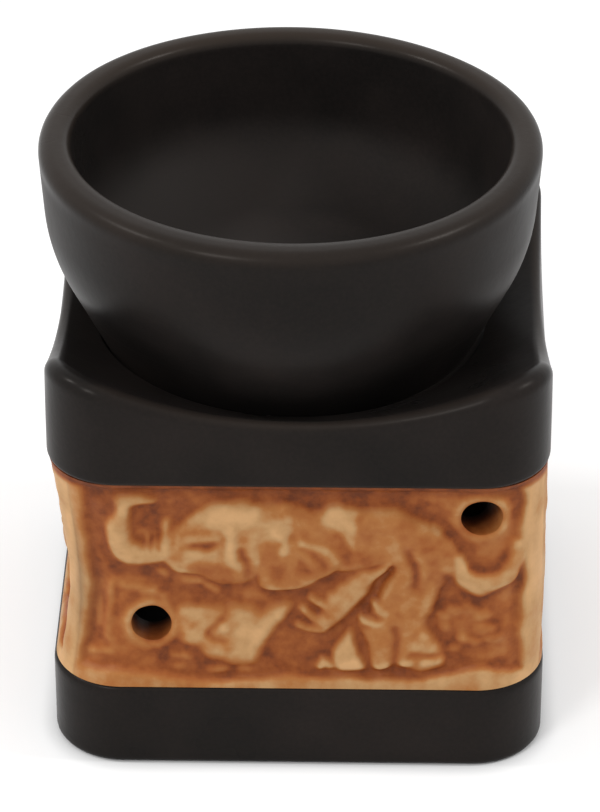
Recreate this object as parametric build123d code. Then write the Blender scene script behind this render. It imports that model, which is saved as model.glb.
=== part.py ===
"""Essential oil burner: a square ceramic stand with a lift out oil bowl and a tealight.

The stand is three stacked castings that share one square cavity: a black base plinth, a
waisted band with elephants in low relief, and a black collar whose top is a shallow dish.
The oil bowl drops into a round seat in the dish. The tealight slides in and out through an
arch at the back and stands on the floor of the plinth, under the bowl.

All lengths are millimetres. The part stands on z = 0, +Z is up and the front faces -Y.
"""

import os
from math import sqrt

from build123d import *

# Stand
stand_width = 86.0
stand_wall = 8.0
corner_radius = 12.5
cavity_corner_radius = 6.0

# Base plinth
base_height = 16.0
floor_thickness = 6.0
foot_fillet = 1.2
shoulder_fillet = 1.0

# Register lips that locate the band on the plinth and the collar in the band
lip_height = 2.0
lip_thickness = 2.0
lip_clearance = 0.15

# Relief band
band_height = 41.5
band_foot_inset = 0.5
band_waist_inset = 2.1
band_neck_inset = 1.1
panel_side_margin = 8.0
panel_foot_margin = 2.6
panel_head_margin = 1.6
panel_corner_radius = 3.0
panel_depth = 1.2

# The elephant of a relief panel, raised from the sunk field. A swelling is an ellipsoid half sunk
# in the field: its place and its half sizes across in half widths of the panel, its place and its
# half sizes up in heights of the panel, its rise in panel depths, and its tilt in degrees.
swelling_shares = (
    (0.23, 0.62, 0.54, 0.28, 1.15, 0),  # barrel of the body
    (0.56, 0.58, 0.27, 0.30, 1.65, 0),  # haunch
    (-0.33, 0.71, 0.27, 0.24, 1.65, 0),  # head
    (-0.46, 0.70, 0.05, 0.03, 1.80, 0),  # eye
    (-0.39, 0.55, 0.16, 0.11, 1.25, 0),  # cheek
    (-0.48, 0.46, 0.11, 0.03, 1.00, -5),  # tusk
    (0.00, 0.61, 0.24, 0.17, 2.00, 30),  # ear
    (0.24, 0.40, 0.30, 0.08, 1.90, -45),  # raised hind leg
    (-0.24, 0.19, 0.24, 0.16, 1.15, -30),  # forelegs
    (-0.47, 0.24, 0.13, 0.15, 1.00, 0),  # bent knee
    (0.57, 0.24, 0.13, 0.27, 1.25, 0),  # standing hind leg
    (0.24, 0.09, 0.09, 0.13, 1.10, 0),  # far foot
    (0.82, 0.20, 0.10, 0.10, 0.90, 0),  # flower beside the leg
)
# A curl is a round bar bent into an arc, half sunk as well: its place as above, its radius and
# its thickness in heights of the panel, and the angles where it starts and how far it runs.
curl_shares = (
    (-0.72, 0.78, 0.160, 0.050, 90, 240),  # trunk
    (0.88, 0.59, 0.092, 0.035, 170, 200),  # tail
)

# Vent holes, punched through each relief panel: one low on the left, one high on the right
vent_radius = 3.5
vent_rim_width = 1.3
low_vent_side_margin = 17.9
low_vent_rise = 11.8
high_vent_side_margin = 12.1
high_vent_drop = 7.2
high_vent_slant = 16

# Arch at the back: the room that it leaves beside and above the tealight
arch_side_room = 5.0
arch_head_room = 24.5
arch_border = 3.0

# Collar
collar_side_height = 13.35
collar_foot_fillet = 1.0
collar_rim_fillet = 1.2
dish_radius = 87.3
deck_thickness = 5.0

# Seat of the bowl in the collar, cast a little left of the centre
seat_x = -2.0
seat_gap = 1.5
seat_drop = 0.9
seat_width = 2.8

# Oil bowl, heights measured from its standing ring, radii stepped in from its rim
bowl_height = 37.6
bowl_overhang = 0.35
bowl_rim_fillet = 2.2
bowl_lip_width = 5.45
bowl_mouth_fillet = 2.0
bowl_knuckle_inset = 1.3
bowl_knuckle_height = 19.0
bowl_knuckle_fillet = 30.0
bowl_foot_inset = 9.25
bowl_well_inset = 2.7
bowl_well_fillet = 9.0
bowl_well_height = 10.35
bowl_floor_thickness = 5.0
spigot_height = 3.0
spigot_clearance = 0.4
spigot_thickness = 3.4
spigot_fillet = 3.0

# Tealight, a standard 38 mm candle in an aluminium cup
tealight_radius = 19.0
tealight_height = 15.5
cup_wall = 0.5
cup_taper = 0.6
cup_flange = 0.5
wax_height = 12.5
wax_edge_fillet = 1.0
wick_radius = 0.8
wick_rise = 5.0
wick_tab_radius = 6.0
wick_tab_thickness = 0.4
wick_collar_radius = 1.6
wick_collar_height = 4.0

# Cutters run past the faces that they cut by this much
overrun = 3.0

# Levels and places that follow from the sizes above
band_bottom = base_height
band_top = band_bottom + band_height
collar_bottom = band_top
half_width = stand_width / 2
panel_half_width = half_width - panel_side_margin
panel_bottom = band_bottom + panel_foot_margin
panel_height = band_height - panel_foot_margin - panel_head_margin
cavity_width = stand_width - 2 * stand_wall
half_cavity = cavity_width / 2
arch_width = 2 * (tealight_radius + arch_side_room)
arch_height = tealight_height + arch_head_room
dish_centre_height = collar_bottom + collar_side_height + sqrt(dish_radius**2 - half_width**2)
bowl_rim_radius = half_width + bowl_overhang
bowl_mouth_radius = bowl_rim_radius - bowl_lip_width
bowl_well_radius = bowl_mouth_radius - bowl_well_inset
bowl_knuckle_radius = bowl_rim_radius - bowl_knuckle_inset
bowl_foot_radius = bowl_knuckle_radius - bowl_foot_inset
bowl_seat_radius = bowl_foot_radius + seat_gap
seat_hole_radius = bowl_foot_radius - seat_width
seat_height = dish_centre_height - sqrt(dish_radius**2 - bowl_foot_radius**2) - seat_drop


def block(width, radius, low, high):
    """A rounded square block about the Z axis, from one height to another."""
    return extrude(Plane.XY.offset(low) * RectangleRounded(width, width, radius), high - low)


def cavity(low, high):
    """The square space inside the stand, between two heights."""
    return block(cavity_width, cavity_corner_radius, low, high)


def register_lip(low, high):
    """The ring round the cavity that drops into the rebate of the next casting."""
    outer = block(cavity_width + 2 * lip_thickness, cavity_corner_radius + lip_thickness, low, high)
    return outer - cavity(low, high)


def register_rebate(low, high):
    """The space for a register lip, with its clearance outside and at its end."""
    growth = lip_thickness + lip_clearance
    return block(cavity_width + 2 * growth, cavity_corner_radius + growth, low, high)


def band_inset(height):
    """How far the waisted band stands in from the stand's faces, a parabola in height."""
    share = (height - band_bottom) / band_height
    foot = band_foot_inset * (1 - share) * (1 - 2 * share)
    waist = band_waist_inset * 4 * share * (1 - share)
    neck = band_neck_inset * share * (2 * share - 1)
    return foot + waist + neck


def waisted_block(depth):
    """The band's outside as a solid, pressed in by a depth all round."""
    sections = []
    for height in (band_bottom, (band_bottom + band_top) / 2, band_top):
        inset = band_inset(height) + depth
        outline = RectangleRounded(stand_width - 2 * inset, stand_width - 2 * inset, corner_radius - inset)
        sections.append(Plane.XY.offset(height) * outline)
    return loft(sections)


def on_front(outline, inner, outer):
    """An outline drawn in X and Z, run along Y between two distances in front of the axis."""
    return extrude(Plane.XZ.offset(inner) * outline, outer - inner)


def arch_outline(growth):
    """The arch of the back opening: upright sides and a round top, grown by a border."""
    radius = arch_width / 2 + growth
    springing = floor_thickness + arch_height - arch_width / 2
    sides = Pos(0, (floor_thickness + springing) / 2) * Rectangle(2 * radius, springing - floor_thickness)
    return sides + Pos(0, springing) * Circle(radius)


def back_arch():
    """The cutter of the tealight's way in, from the cavity out through the back wall."""
    above_floor = Pos(0, floor_thickness + stand_width / 2) * Rectangle(stand_width, stand_width)
    opening = arch_outline(0) & above_floor
    return Rot(0, 0, 180) * on_front(opening, 0, half_width + overrun)


def panel_recess():
    """The sunk field of one relief panel, as deep as the panel depth under the waisted face."""
    outline = RectangleRounded(2 * panel_half_width, panel_height, panel_corner_radius)
    field = on_front(
        Pos(0, panel_bottom + panel_height / 2) * outline, half_cavity, half_width + overrun
    )
    return field - waisted_block(panel_depth)


def on_field(across, up):
    """The place on the sunk field of the front panel for shares across and up."""
    height = panel_bottom + up * panel_height
    return Pos(across * panel_half_width, band_inset(height) + panel_depth - half_width, height)


def elephant():
    """The swellings and curls of the front panel's elephant, each half sunk in the field."""
    forms = []
    for across, up, length, height, rise, tilt in swelling_shares:
        sizes = (length * panel_half_width, rise * panel_depth, height * panel_height)
        forms.append(on_field(across, up) * Rot(0, tilt, 0) * scale(Sphere(1), by=sizes))
    for across, up, radius, thickness, start, sweep in curl_shares:
        curl = Torus(radius * panel_height, thickness * panel_height, major_angle=sweep)
        forms.append(on_field(across, up) * Rot(90, 0, 0) * Rot(0, 0, start) * curl)
    return forms


def vents():
    """The place and slant of each vent hole of a panel."""
    return (
        (low_vent_side_margin - half_width, band_bottom + low_vent_rise, 0),
        (half_width - high_vent_side_margin, band_top - high_vent_drop, high_vent_slant),
    )


def vent_rims():
    """The raised rims that stand round the vent holes, flush with the band's face."""
    rims = [
        on_front(Pos(x, z) * Circle(vent_radius + vent_rim_width), half_cavity, half_width)
        for x, z, _ in vents()
    ]
    return (rims[0] + rims[1]) & waisted_block(0)


def vent_bores():
    """The cutters of the vent holes, each turned by its slant about the face of the band."""
    bores = []
    for x, z, slant in vents():
        face = half_width - band_inset(z)
        bore = Pos(x, -face, z) * Rot(0, 0, slant) * Cylinder(
            vent_radius, 2 * (half_width - half_cavity + overrun), rotation=(90, 0, 0)
        )
        bores.append(bore)
    return bores[0] + bores[1]


def make_base_plinth():
    """The tray under the band: floor, low walls, rounded foot and a register lip."""
    lip_top = base_height + lip_height
    body = block(stand_width, corner_radius, 0, base_height)
    body = fillet(body.edges().group_by(Axis.Z)[0], foot_fillet)
    body = fillet(body.edges().group_by(Axis.Z)[-1], shoulder_fillet)
    body += register_lip(base_height - lip_height, lip_top)
    body -= cavity(floor_thickness, lip_top)
    return body - back_arch()


def make_relief_band():
    """The waisted sleeve with an elephant panel on three sides and the arch on the fourth."""
    body = waisted_block(0)
    rims = vent_rims()
    recess = panel_recess()
    figure = elephant()
    for turn in (0, 90, -90):
        body -= Rot(0, 0, turn) * (recess - rims)
        body += [Rot(0, 0, turn) * form for form in figure]
    arch_frame = Rot(0, 0, 180) * on_front(arch_outline(arch_border), 0, stand_width)
    body -= Rot(0, 0, 180) * recess - arch_frame
    body -= cavity(band_bottom, band_top)
    body -= register_rebate(band_bottom, band_bottom + lip_height + lip_clearance)
    body -= register_rebate(band_top - lip_height - lip_clearance, band_top)
    for turn in (0, 90, -90):
        body -= Rot(0, 0, turn) * vent_bores()
    return body - back_arch()


def make_collar():
    """The ring on the band: a dished deck of even thickness with the seat of the bowl."""
    horn_limit = collar_bottom + collar_side_height + half_width / 2
    lip_bottom = collar_bottom - lip_height
    dish = Pos(0, 0, dish_centre_height) * Sphere(dish_radius)
    deck_underside = Pos(0, 0, dish_centre_height) * Sphere(dish_radius + deck_thickness)
    body = block(stand_width, corner_radius, collar_bottom, horn_limit)
    body = fillet(body.edges().group_by(Axis.Z)[0], collar_foot_fillet)
    body -= dish
    rim = [face for face in body.faces() if face.geom_type == GeomType.SPHERE][0].outer_wire()
    body = fillet(rim.edges(), collar_rim_fillet)
    body += register_lip(lip_bottom, collar_bottom + lip_height)
    body -= cavity(lip_bottom, horn_limit) - deck_underside
    seat = Pos(seat_x, 0, seat_height)
    body -= seat * Cylinder(bowl_seat_radius, horn_limit, align=(Align.CENTER, Align.CENTER, Align.MIN))
    return body - seat * Cylinder(seat_hole_radius, stand_width)


def make_oil_bowl():
    """The bowl: one turned profile with a rolled lip, a coved well and a locating spigot."""
    spigot_radius = seat_hole_radius - spigot_clearance
    recess_radius = spigot_radius - spigot_thickness
    recess_top = bowl_well_height - bowl_floor_thickness
    corners = (
        ((0, recess_top), None),
        ((recess_radius, recess_top), spigot_fillet),
        ((recess_radius, -spigot_height), 0),
        ((spigot_radius, -spigot_height), 0),
        ((spigot_radius, 0), 0),
        ((bowl_foot_radius, 0), 0),
        ((bowl_knuckle_radius, bowl_knuckle_height), bowl_knuckle_fillet),
        ((bowl_rim_radius, bowl_height), bowl_rim_fillet),
        ((bowl_mouth_radius, bowl_height), bowl_mouth_fillet),
        ((bowl_well_radius, bowl_well_height), bowl_well_fillet),
        ((0, bowl_well_height), None),
    )
    points = [point for point, _ in corners]
    radii = [radius for _, radius in corners[1:-1]]
    outline = FilletPolyline(*points, radius=radii) + Line(points[-1], points[0])
    section = Plane.XZ * make_face(outline)
    return Pos(seat_x, 0, seat_height) * revolve(section, Axis.Z)


def turned(points):
    """A solid turned about the Z axis from an outline given as radius and height."""
    section = Plane.XZ * make_face(Polyline(*points, close=True))
    return Pos(0, 0, floor_thickness) * revolve(section, Axis.Z)


def make_tealight_cup():
    """The aluminium cup, slightly tapered, with a small flange at its mouth."""
    foot_radius = tealight_radius - cup_flange - cup_taper
    mouth_radius = tealight_radius - cup_flange
    return turned((
        (0, 0),
        (foot_radius, 0),
        (mouth_radius, tealight_height - cup_wall),
        (tealight_radius, tealight_height - cup_wall),
        (tealight_radius, tealight_height),
        (mouth_radius - cup_wall, tealight_height),
        (foot_radius - cup_wall, cup_wall),
        (0, cup_wall),
    ))


def make_wick_tab():
    """The tinned disc and short tube that hold the wick upright on the cup's floor."""
    disc_top = cup_wall + wick_tab_thickness
    tube_top = disc_top + wick_collar_height
    return turned((
        (wick_radius, cup_wall),
        (wick_tab_radius, cup_wall),
        (wick_tab_radius, disc_top),
        (wick_collar_radius, disc_top),
        (wick_collar_radius, tube_top),
        (wick_radius, tube_top),
    ))


def make_wick():
    """The cotton wick, from the cup's floor through the wax to its free end."""
    top = wax_height + wick_rise
    return turned(((0, cup_wall), (wick_radius, cup_wall), (wick_radius, top), (0, top)))


def make_wax(wick, tab):
    """The wax that fills the cup round the wick and its tab."""
    inner_foot = tealight_radius - cup_flange - cup_taper - cup_wall
    inner_mouth = tealight_radius - cup_flange - cup_wall
    share = (wax_height - cup_wall) / (tealight_height - cup_wall)
    wax_radius = inner_foot + (inner_mouth - inner_foot) * share
    wax = turned(((0, cup_wall), (inner_foot, cup_wall), (wax_radius, wax_height), (0, wax_height)))
    wax = fillet(wax.edges().group_by(Axis.Z)[-1], wax_edge_fillet)
    return wax - wick - tab


def main():
    wick = make_wick()
    wick_tab = make_wick_tab()
    parts = {
        "base_plinth": make_base_plinth(),
        "relief_band": make_relief_band(),
        "collar": make_collar(),
        "oil_bowl": make_oil_bowl(),
        "tealight_cup": make_tealight_cup(),
        "tealight_wax": make_wax(wick, wick_tab),
        "tealight_wick": wick,
        "wick_tab": wick_tab,
    }
    os.makedirs("parts", exist_ok=True)
    for node, shape in parts.items():
        export_step(shape, f"parts/{node}.step")
        print(node, len(shape.solids()), round(shape.volume))


main()
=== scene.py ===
# %% [markdown]
# # A ceramic essential oil burner
# The burner is a square stand with a round bowl on top. A black plinth and a black collar hold a
# waisted band of bare clay between them, with an elephant in low relief and two vent holes on each
# side. The CAD model gives every size and joint. This lesson dresses it: each piece is worked out
# again as a fine surface, with the softness that a slip cast and glazed pot has, and the relief is
# drawn on a sheet of numbers before it is wrapped round the band.

from math import cos, pi, radians, sin, sqrt, tan

import bpy
import numpy as np
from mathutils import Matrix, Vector


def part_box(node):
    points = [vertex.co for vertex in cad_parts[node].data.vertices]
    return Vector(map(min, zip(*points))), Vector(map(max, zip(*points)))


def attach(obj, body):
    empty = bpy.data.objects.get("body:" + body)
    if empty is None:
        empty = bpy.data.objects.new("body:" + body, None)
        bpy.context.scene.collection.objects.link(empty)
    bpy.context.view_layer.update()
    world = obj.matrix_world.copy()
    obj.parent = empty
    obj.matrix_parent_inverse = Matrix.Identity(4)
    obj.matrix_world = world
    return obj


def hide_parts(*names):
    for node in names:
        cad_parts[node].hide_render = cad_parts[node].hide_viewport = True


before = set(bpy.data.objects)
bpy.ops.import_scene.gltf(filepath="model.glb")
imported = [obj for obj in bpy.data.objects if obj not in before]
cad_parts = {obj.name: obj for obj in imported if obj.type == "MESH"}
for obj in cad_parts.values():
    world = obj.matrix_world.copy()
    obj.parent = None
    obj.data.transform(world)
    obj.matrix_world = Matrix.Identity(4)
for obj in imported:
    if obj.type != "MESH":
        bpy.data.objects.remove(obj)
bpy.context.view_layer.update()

# %% [markdown]
# ## Sizes
# What the frame can tell is read from it, so that the dressing always fits the solids. The other
# sizes are the named ones of the real object. Everything is in metres. The plinth and the collar
# each have a small lip that locates the band, and the band has a rebate with a little room for it.

# %% Sizes from the frame
mm = 0.001
base_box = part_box("base_plinth")
band_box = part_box("relief_band")
bowl_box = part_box("oil_bowl")
cup_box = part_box("tealight_cup")
wax_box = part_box("tealight_wax")
wick_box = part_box("tealight_wick")
tab_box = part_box("wick_tab")

half_width = base_box[1].x
band_bottom = band_box[0].z
band_top = band_box[1].z
band_height = band_top - band_bottom
floor_level = cup_box[0].z

corner_radius = 12.5 * mm
flat_half = half_width - corner_radius
cavity_half = 35 * mm
cavity_radius = 6 * mm
lip_size = 2 * mm
rebate_size = 2.15 * mm
print("stand", round(2 * half_width / mm, 2), "mm wide, band", round(band_height / mm, 2), "mm high")

# %% [markdown]
# ## Grids that become meshes
# Plain shapes could be boxes with a Bevel modifier, but nothing on a cast pot is quite plain. So
# every piece here is a grid of points. Its columns run round the piece and join up, and its rows
# run along its section. A closed section gives a ring such as the band, and an open one ends in
# two poles, as on a bowl. Numpy works out all points at once, and foreach_set hands them over.

# %% From a grid to a mesh
def ring_quads(rows, columns, closed):
    """Quads between neighbouring rows and columns. The last column meets the first one, and the
    last row meets the first one too if the section is closed."""
    row = np.arange(rows if closed else rows - 1)[:, None]
    column = np.arange(columns)[None, :]
    next_row = (row + 1) % rows
    next_column = (column + 1) % columns
    corners = (
        row * columns + column,
        row * columns + next_column,
        next_row * columns + next_column,
        next_row * columns + column,
    )
    return np.stack(np.broadcast_arrays(*corners), axis=-1).reshape(-1, 4)


def pole_fans(rows, columns):
    """Triangles from the first row to a pole below it and from the last row to one above it."""
    column = np.arange(columns)
    next_column = (column + 1) % columns
    first_pole = rows * columns
    last = (rows - 1) * columns
    first = np.stack((next_column, column, np.full(columns, first_pole)), axis=-1)
    final = np.stack((last + column, last + next_column, np.full(columns, first_pole + 1)), axis=-1)
    return np.concatenate((first, final))


def mesh_piece(name, points, quads, triangles=np.zeros((0, 3), int)):
    """An object from points and faces, smooth except across edges of more than 40 degrees."""
    mesh = bpy.data.meshes.new(name)
    corners = np.concatenate((quads.ravel(), triangles.ravel()))
    sizes = np.concatenate((np.full(len(quads), 4), np.full(len(triangles), 3)))
    mesh.vertices.add(len(points))
    mesh.vertices.foreach_set("co", points.astype(np.float32).ravel())
    mesh.loops.add(len(corners))
    mesh.loops.foreach_set("vertex_index", corners.astype(np.int32))
    mesh.polygons.add(len(sizes))
    mesh.polygons.foreach_set("loop_start", (np.cumsum(sizes) - sizes).astype(np.int32))
    mesh.update(calc_edges=True)
    mesh.validate()
    mesh.polygons.foreach_set("use_smooth", np.ones(len(mesh.polygons), bool))
    mesh.set_sharp_from_angle(angle=radians(40))
    piece = bpy.data.objects.new(name, mesh)
    bpy.context.scene.collection.objects.link(piece)
    return piece


def grid_piece(name, points, closed=False):
    """An object from a grid of points, rows by columns: a ring, or a skin closed at two poles."""
    rows, columns, _ = points.shape
    quads = ring_quads(rows, columns, closed)
    flat = points.reshape(-1, 3)
    if closed:
        return mesh_piece(name, flat, quads)
    poles = np.stack((points[0].mean(0), points[-1].mean(0)))
    return mesh_piece(name, np.concatenate((flat, poles)), quads, pole_fans(rows, columns))


def set_attribute(piece, name, values):
    """One number for each vertex, kept in the mesh for the materials to read."""
    attribute = piece.data.attributes.new(name, "FLOAT", "POINT")
    attribute.data.foreach_set("value", np.asarray(values, np.float32).ravel())


def vertex_places(piece):
    """The places of all vertices as an array of rows x, y, z."""
    places = np.empty(len(piece.data.vertices) * 3, np.float32)
    piece.data.vertices.foreach_get("co", places)
    return places.reshape(-1, 3).astype(float)


# %% [markdown]
# ## Sections with rounded corners
# Pottery has no sharp edges, so a section is a line of corners, each with its own radius, which
# one Bevel modifier couldn't give. The corner is cut back along both runs by the radius times the
# tangent of half the turn, and an arc joins the two ends. Long runs get points in between, so that
# the light and the stored numbers change evenly along them.

# %% Rounded sections
def rounded_section(corners, spacing):
    """Points along a line of corners (x, z, radius), at most one spacing apart.

    An arc's points are its centre plus a spoke times the cosine of the angle, plus the spoke's
    normal times its sine."""
    places = np.array([corner[:2] for corner in corners], float)
    runs = np.diff(places, axis=0)
    runs /= np.linalg.norm(runs, axis=1)[:, None]
    stops = [places[:1]]
    for index in range(1, len(corners) - 1):
        radius = corners[index][2]
        before, after = runs[index - 1], runs[index]
        turn = np.arctan2(before[0] * after[1] - before[1] * after[0], before @ after)
        if radius == 0 or abs(turn) < 1e-4:
            stops.append(places[index : index + 1])
            continue
        start = places[index] - before * radius * tan(abs(turn) / 2)
        side = np.sign(turn) * np.array([-before[1], before[0]])
        centre = start + side * radius
        steps = max(4, int(np.ceil(radius * abs(turn) / spacing)))
        angles = np.linspace(0, turn, steps + 1)[:, None]
        spoke = -side * radius
        normal = np.array([-spoke[1], spoke[0]])
        stops.append(centre + spoke * np.cos(angles) + normal * np.sin(angles))
    stops.append(places[-1:])
    line = np.concatenate(stops)
    pieces = [line[:1]]
    for start, end in zip(line[:-1], line[1:]):
        steps = max(1, int(np.ceil(np.linalg.norm(end - start) / spacing)))
        shares = np.arange(1, steps + 1)[:, None] / steps
        pieces.append(start + (end - start) * shares)
    return np.concatenate(pieces)


# %% [markdown]
# ## Places round the stand
# The stand is a rounded square. One number tells how far round it a place is: it grows along the
# front from left to right, goes round the corner, and goes on along the right side, the back and
# the left side. The corners count with a fixed reach, so the number means the same direction at
# every height, however far the wall stands in.

# %% Round the stand
corner_reach = 10 * mm
side_pitch = 2 * flat_half + corner_reach * pi / 2


def stand_ring(around, half, radius):
    """Points x, y at places round a rounded square of a half width and corner radius.

    On the flats the place moves along the side. On a corner it turns by its overshoot divided by
    the corner reach, and the point moves on the corner's circle."""
    side = np.round(around / side_pitch)
    across = around - side * side_pitch
    flat = np.clip(across / flat_half, -1, 1)
    turn = np.sign(across) * np.maximum(np.abs(across) - flat_half, 0) / corner_reach
    along = flat * (half - radius) + radius * np.sin(turn)
    outward = (half - radius) + radius * np.cos(turn)
    angle = side * pi / 2
    x = along * np.cos(angle) + outward * np.sin(angle)
    y = along * np.sin(angle) - outward * np.cos(angle)
    return x, y


def stand_place(x, y):
    """The place round the stand of points x, y: the inverse of the ring, by the nearest side."""
    side = np.round((np.arctan2(y, x) + pi / 2) / (pi / 2))
    angle = side * pi / 2
    along = x * np.cos(angle) + y * np.sin(angle)
    outward = x * np.sin(angle) - y * np.cos(angle)
    past = np.maximum(np.abs(along) - flat_half, 0)
    turn = np.arctan2(past, np.maximum(outward - flat_half, 1e-9))
    across = np.sign(along) * (np.minimum(np.abs(along), flat_half) + corner_reach * turn)
    return side * side_pitch + across


def ring_columns(front, sides, back):
    """Places round the stand with their own spacing on the front, the two sides and the back."""
    half_pitch = side_pitch / 2
    stretches = []
    for side, gap in enumerate((front, sides, back, sides)):
        steps = np.linspace(-half_pitch, half_pitch, round(side_pitch / gap), endpoint=False)
        stretches.append(side * side_pitch + steps)
    return np.concatenate(stretches)


print("one side and a corner", round(side_pitch / mm, 2), "mm round")

# %% [markdown]
# ## A sheet of clay to draw on
# The relief could be sculpted by hand, but then no number of it could be read or mended. So it is
# drawn on a flat canvas first, in millimetres: across is the place round the band from the middle
# of the panel, and up is the height above the table. The canvas holds a height and a stain, from
# pale clay at 0 to dark brown at 1. A pillow is an outline that swells from its edge, a bar is a
# rod laid on the clay, and grooves and ridges are single tool strokes.

# %% Samples of the sheet
canvas_gap = 0.2
canvas_across = np.arange(-47, 47.1, canvas_gap)
canvas_up = np.arange(14, 60.1, canvas_gap)
sample_across, sample_up = np.meshgrid(canvas_across, canvas_up)
print("canvas", sample_up.shape)


# %% Smooth lines and how near they are
def flowing(points, closed=False, steps=6):
    """A smooth line through points. Each span is a cubic of t, which leaves its start and reaches
    its end along the line from one neighbour to the other."""
    line = np.array(points, float)
    if closed:
        before, start, end, after = (np.roll(line, shift, axis=0) for shift in (1, 0, -1, -2))
    else:
        padded = np.concatenate((2 * line[:1] - line[1:2], line, 2 * line[-1:] - line[-2:-1]))
        before, start, end, after = padded[:-3], padded[1:-2], padded[2:-1], padded[3:]
    t = np.linspace(0, 1, steps, endpoint=False)[None, :, None]
    before, start, end, after = (part[:, None, :] for part in (before, start, end, after))
    square = 2 * before - 5 * start + 4 * end - after
    cubic = 3 * (start - end) + after - before
    curve = start + 0.5 * t * ((end - before) + t * (square + t * cubic))
    curve = curve.reshape(-1, line.shape[1])
    return np.concatenate((curve, curve[:1] if closed else line[-1:]))


def to_line(across, up, line):
    """The least distance to a line, and the line's third number at that nearest place.

    Each sample is projected on each run, the share is held between 0 and 1, and the nearest run
    wins."""
    start, run = line[:-1], np.diff(line, axis=0)
    to_across = across[..., None] - start[:, 0]
    to_up = up[..., None] - start[:, 1]
    length = np.maximum(run[:, 0] ** 2 + run[:, 1] ** 2, 1e-9)
    share = np.clip((to_across * run[:, 0] + to_up * run[:, 1]) / length, 0, 1)
    gap = np.hypot(to_across - share * run[:, 0], to_up - share * run[:, 1])
    nearest = gap.argmin(axis=-1)[..., None]
    gap = np.take_along_axis(gap, nearest, axis=-1)[..., 0]
    if line.shape[1] < 3:
        return gap, None
    share = np.take_along_axis(share, nearest, axis=-1)[..., 0]
    nearest = nearest[..., 0]
    return gap, start[nearest, 2] + share * run[nearest, 2]


def within(across, up, line):
    """True inside a closed line: a level ray from the sample crosses it an odd number of times."""
    start, end = line[:-1], line[1:]
    spans = (start[:, 1] > up[..., None]) != (end[:, 1] > up[..., None])
    rise = np.where(end[:, 1] == start[:, 1], 1, end[:, 1] - start[:, 1])
    crossing = start[:, 0] + (up[..., None] - start[:, 1]) * (end[:, 0] - start[:, 0]) / rise
    return (spans & (across[..., None] < crossing)).sum(axis=-1) % 2 == 1


# %% Steps, blurs and patches
def ease(values, low, high):
    """0 below low, 1 above high and a smooth cubic step between them."""
    share = np.clip((values - low) / (high - low), 0, 1)
    return share * share * (3 - 2 * share)


def soften(field, width):
    """Gaussian blur: each wave of the field fades by exp(-2 (pi width frequency)^2)."""
    up_waves = np.fft.fftfreq(field.shape[0], canvas_gap)[:, None]
    across_waves = np.fft.rfftfreq(field.shape[1], canvas_gap)[None, :]
    fade = np.exp(-2 * (pi * width) ** 2 * (up_waves**2 + across_waves**2))
    return np.fft.irfft2(np.fft.rfft2(field) * fade, s=field.shape)


def mottle(seed, width):
    """Soft random patches of about one width, with an average of 0 and a spread of 1."""
    field = soften(np.random.default_rng(seed).standard_normal(sample_up.shape), width)
    return (field - field.mean()) / field.std()


hand_wander = 0.32
wander_reach = 1.2
drawn_across = sample_across + hand_wander * mottle(1, 1.6)
drawn_up = sample_up + hand_wander * mottle(2, 1.6)
print("the hand wanders up to", round(float(np.abs(drawn_up - sample_up).max()), 2), "mm")


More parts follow.
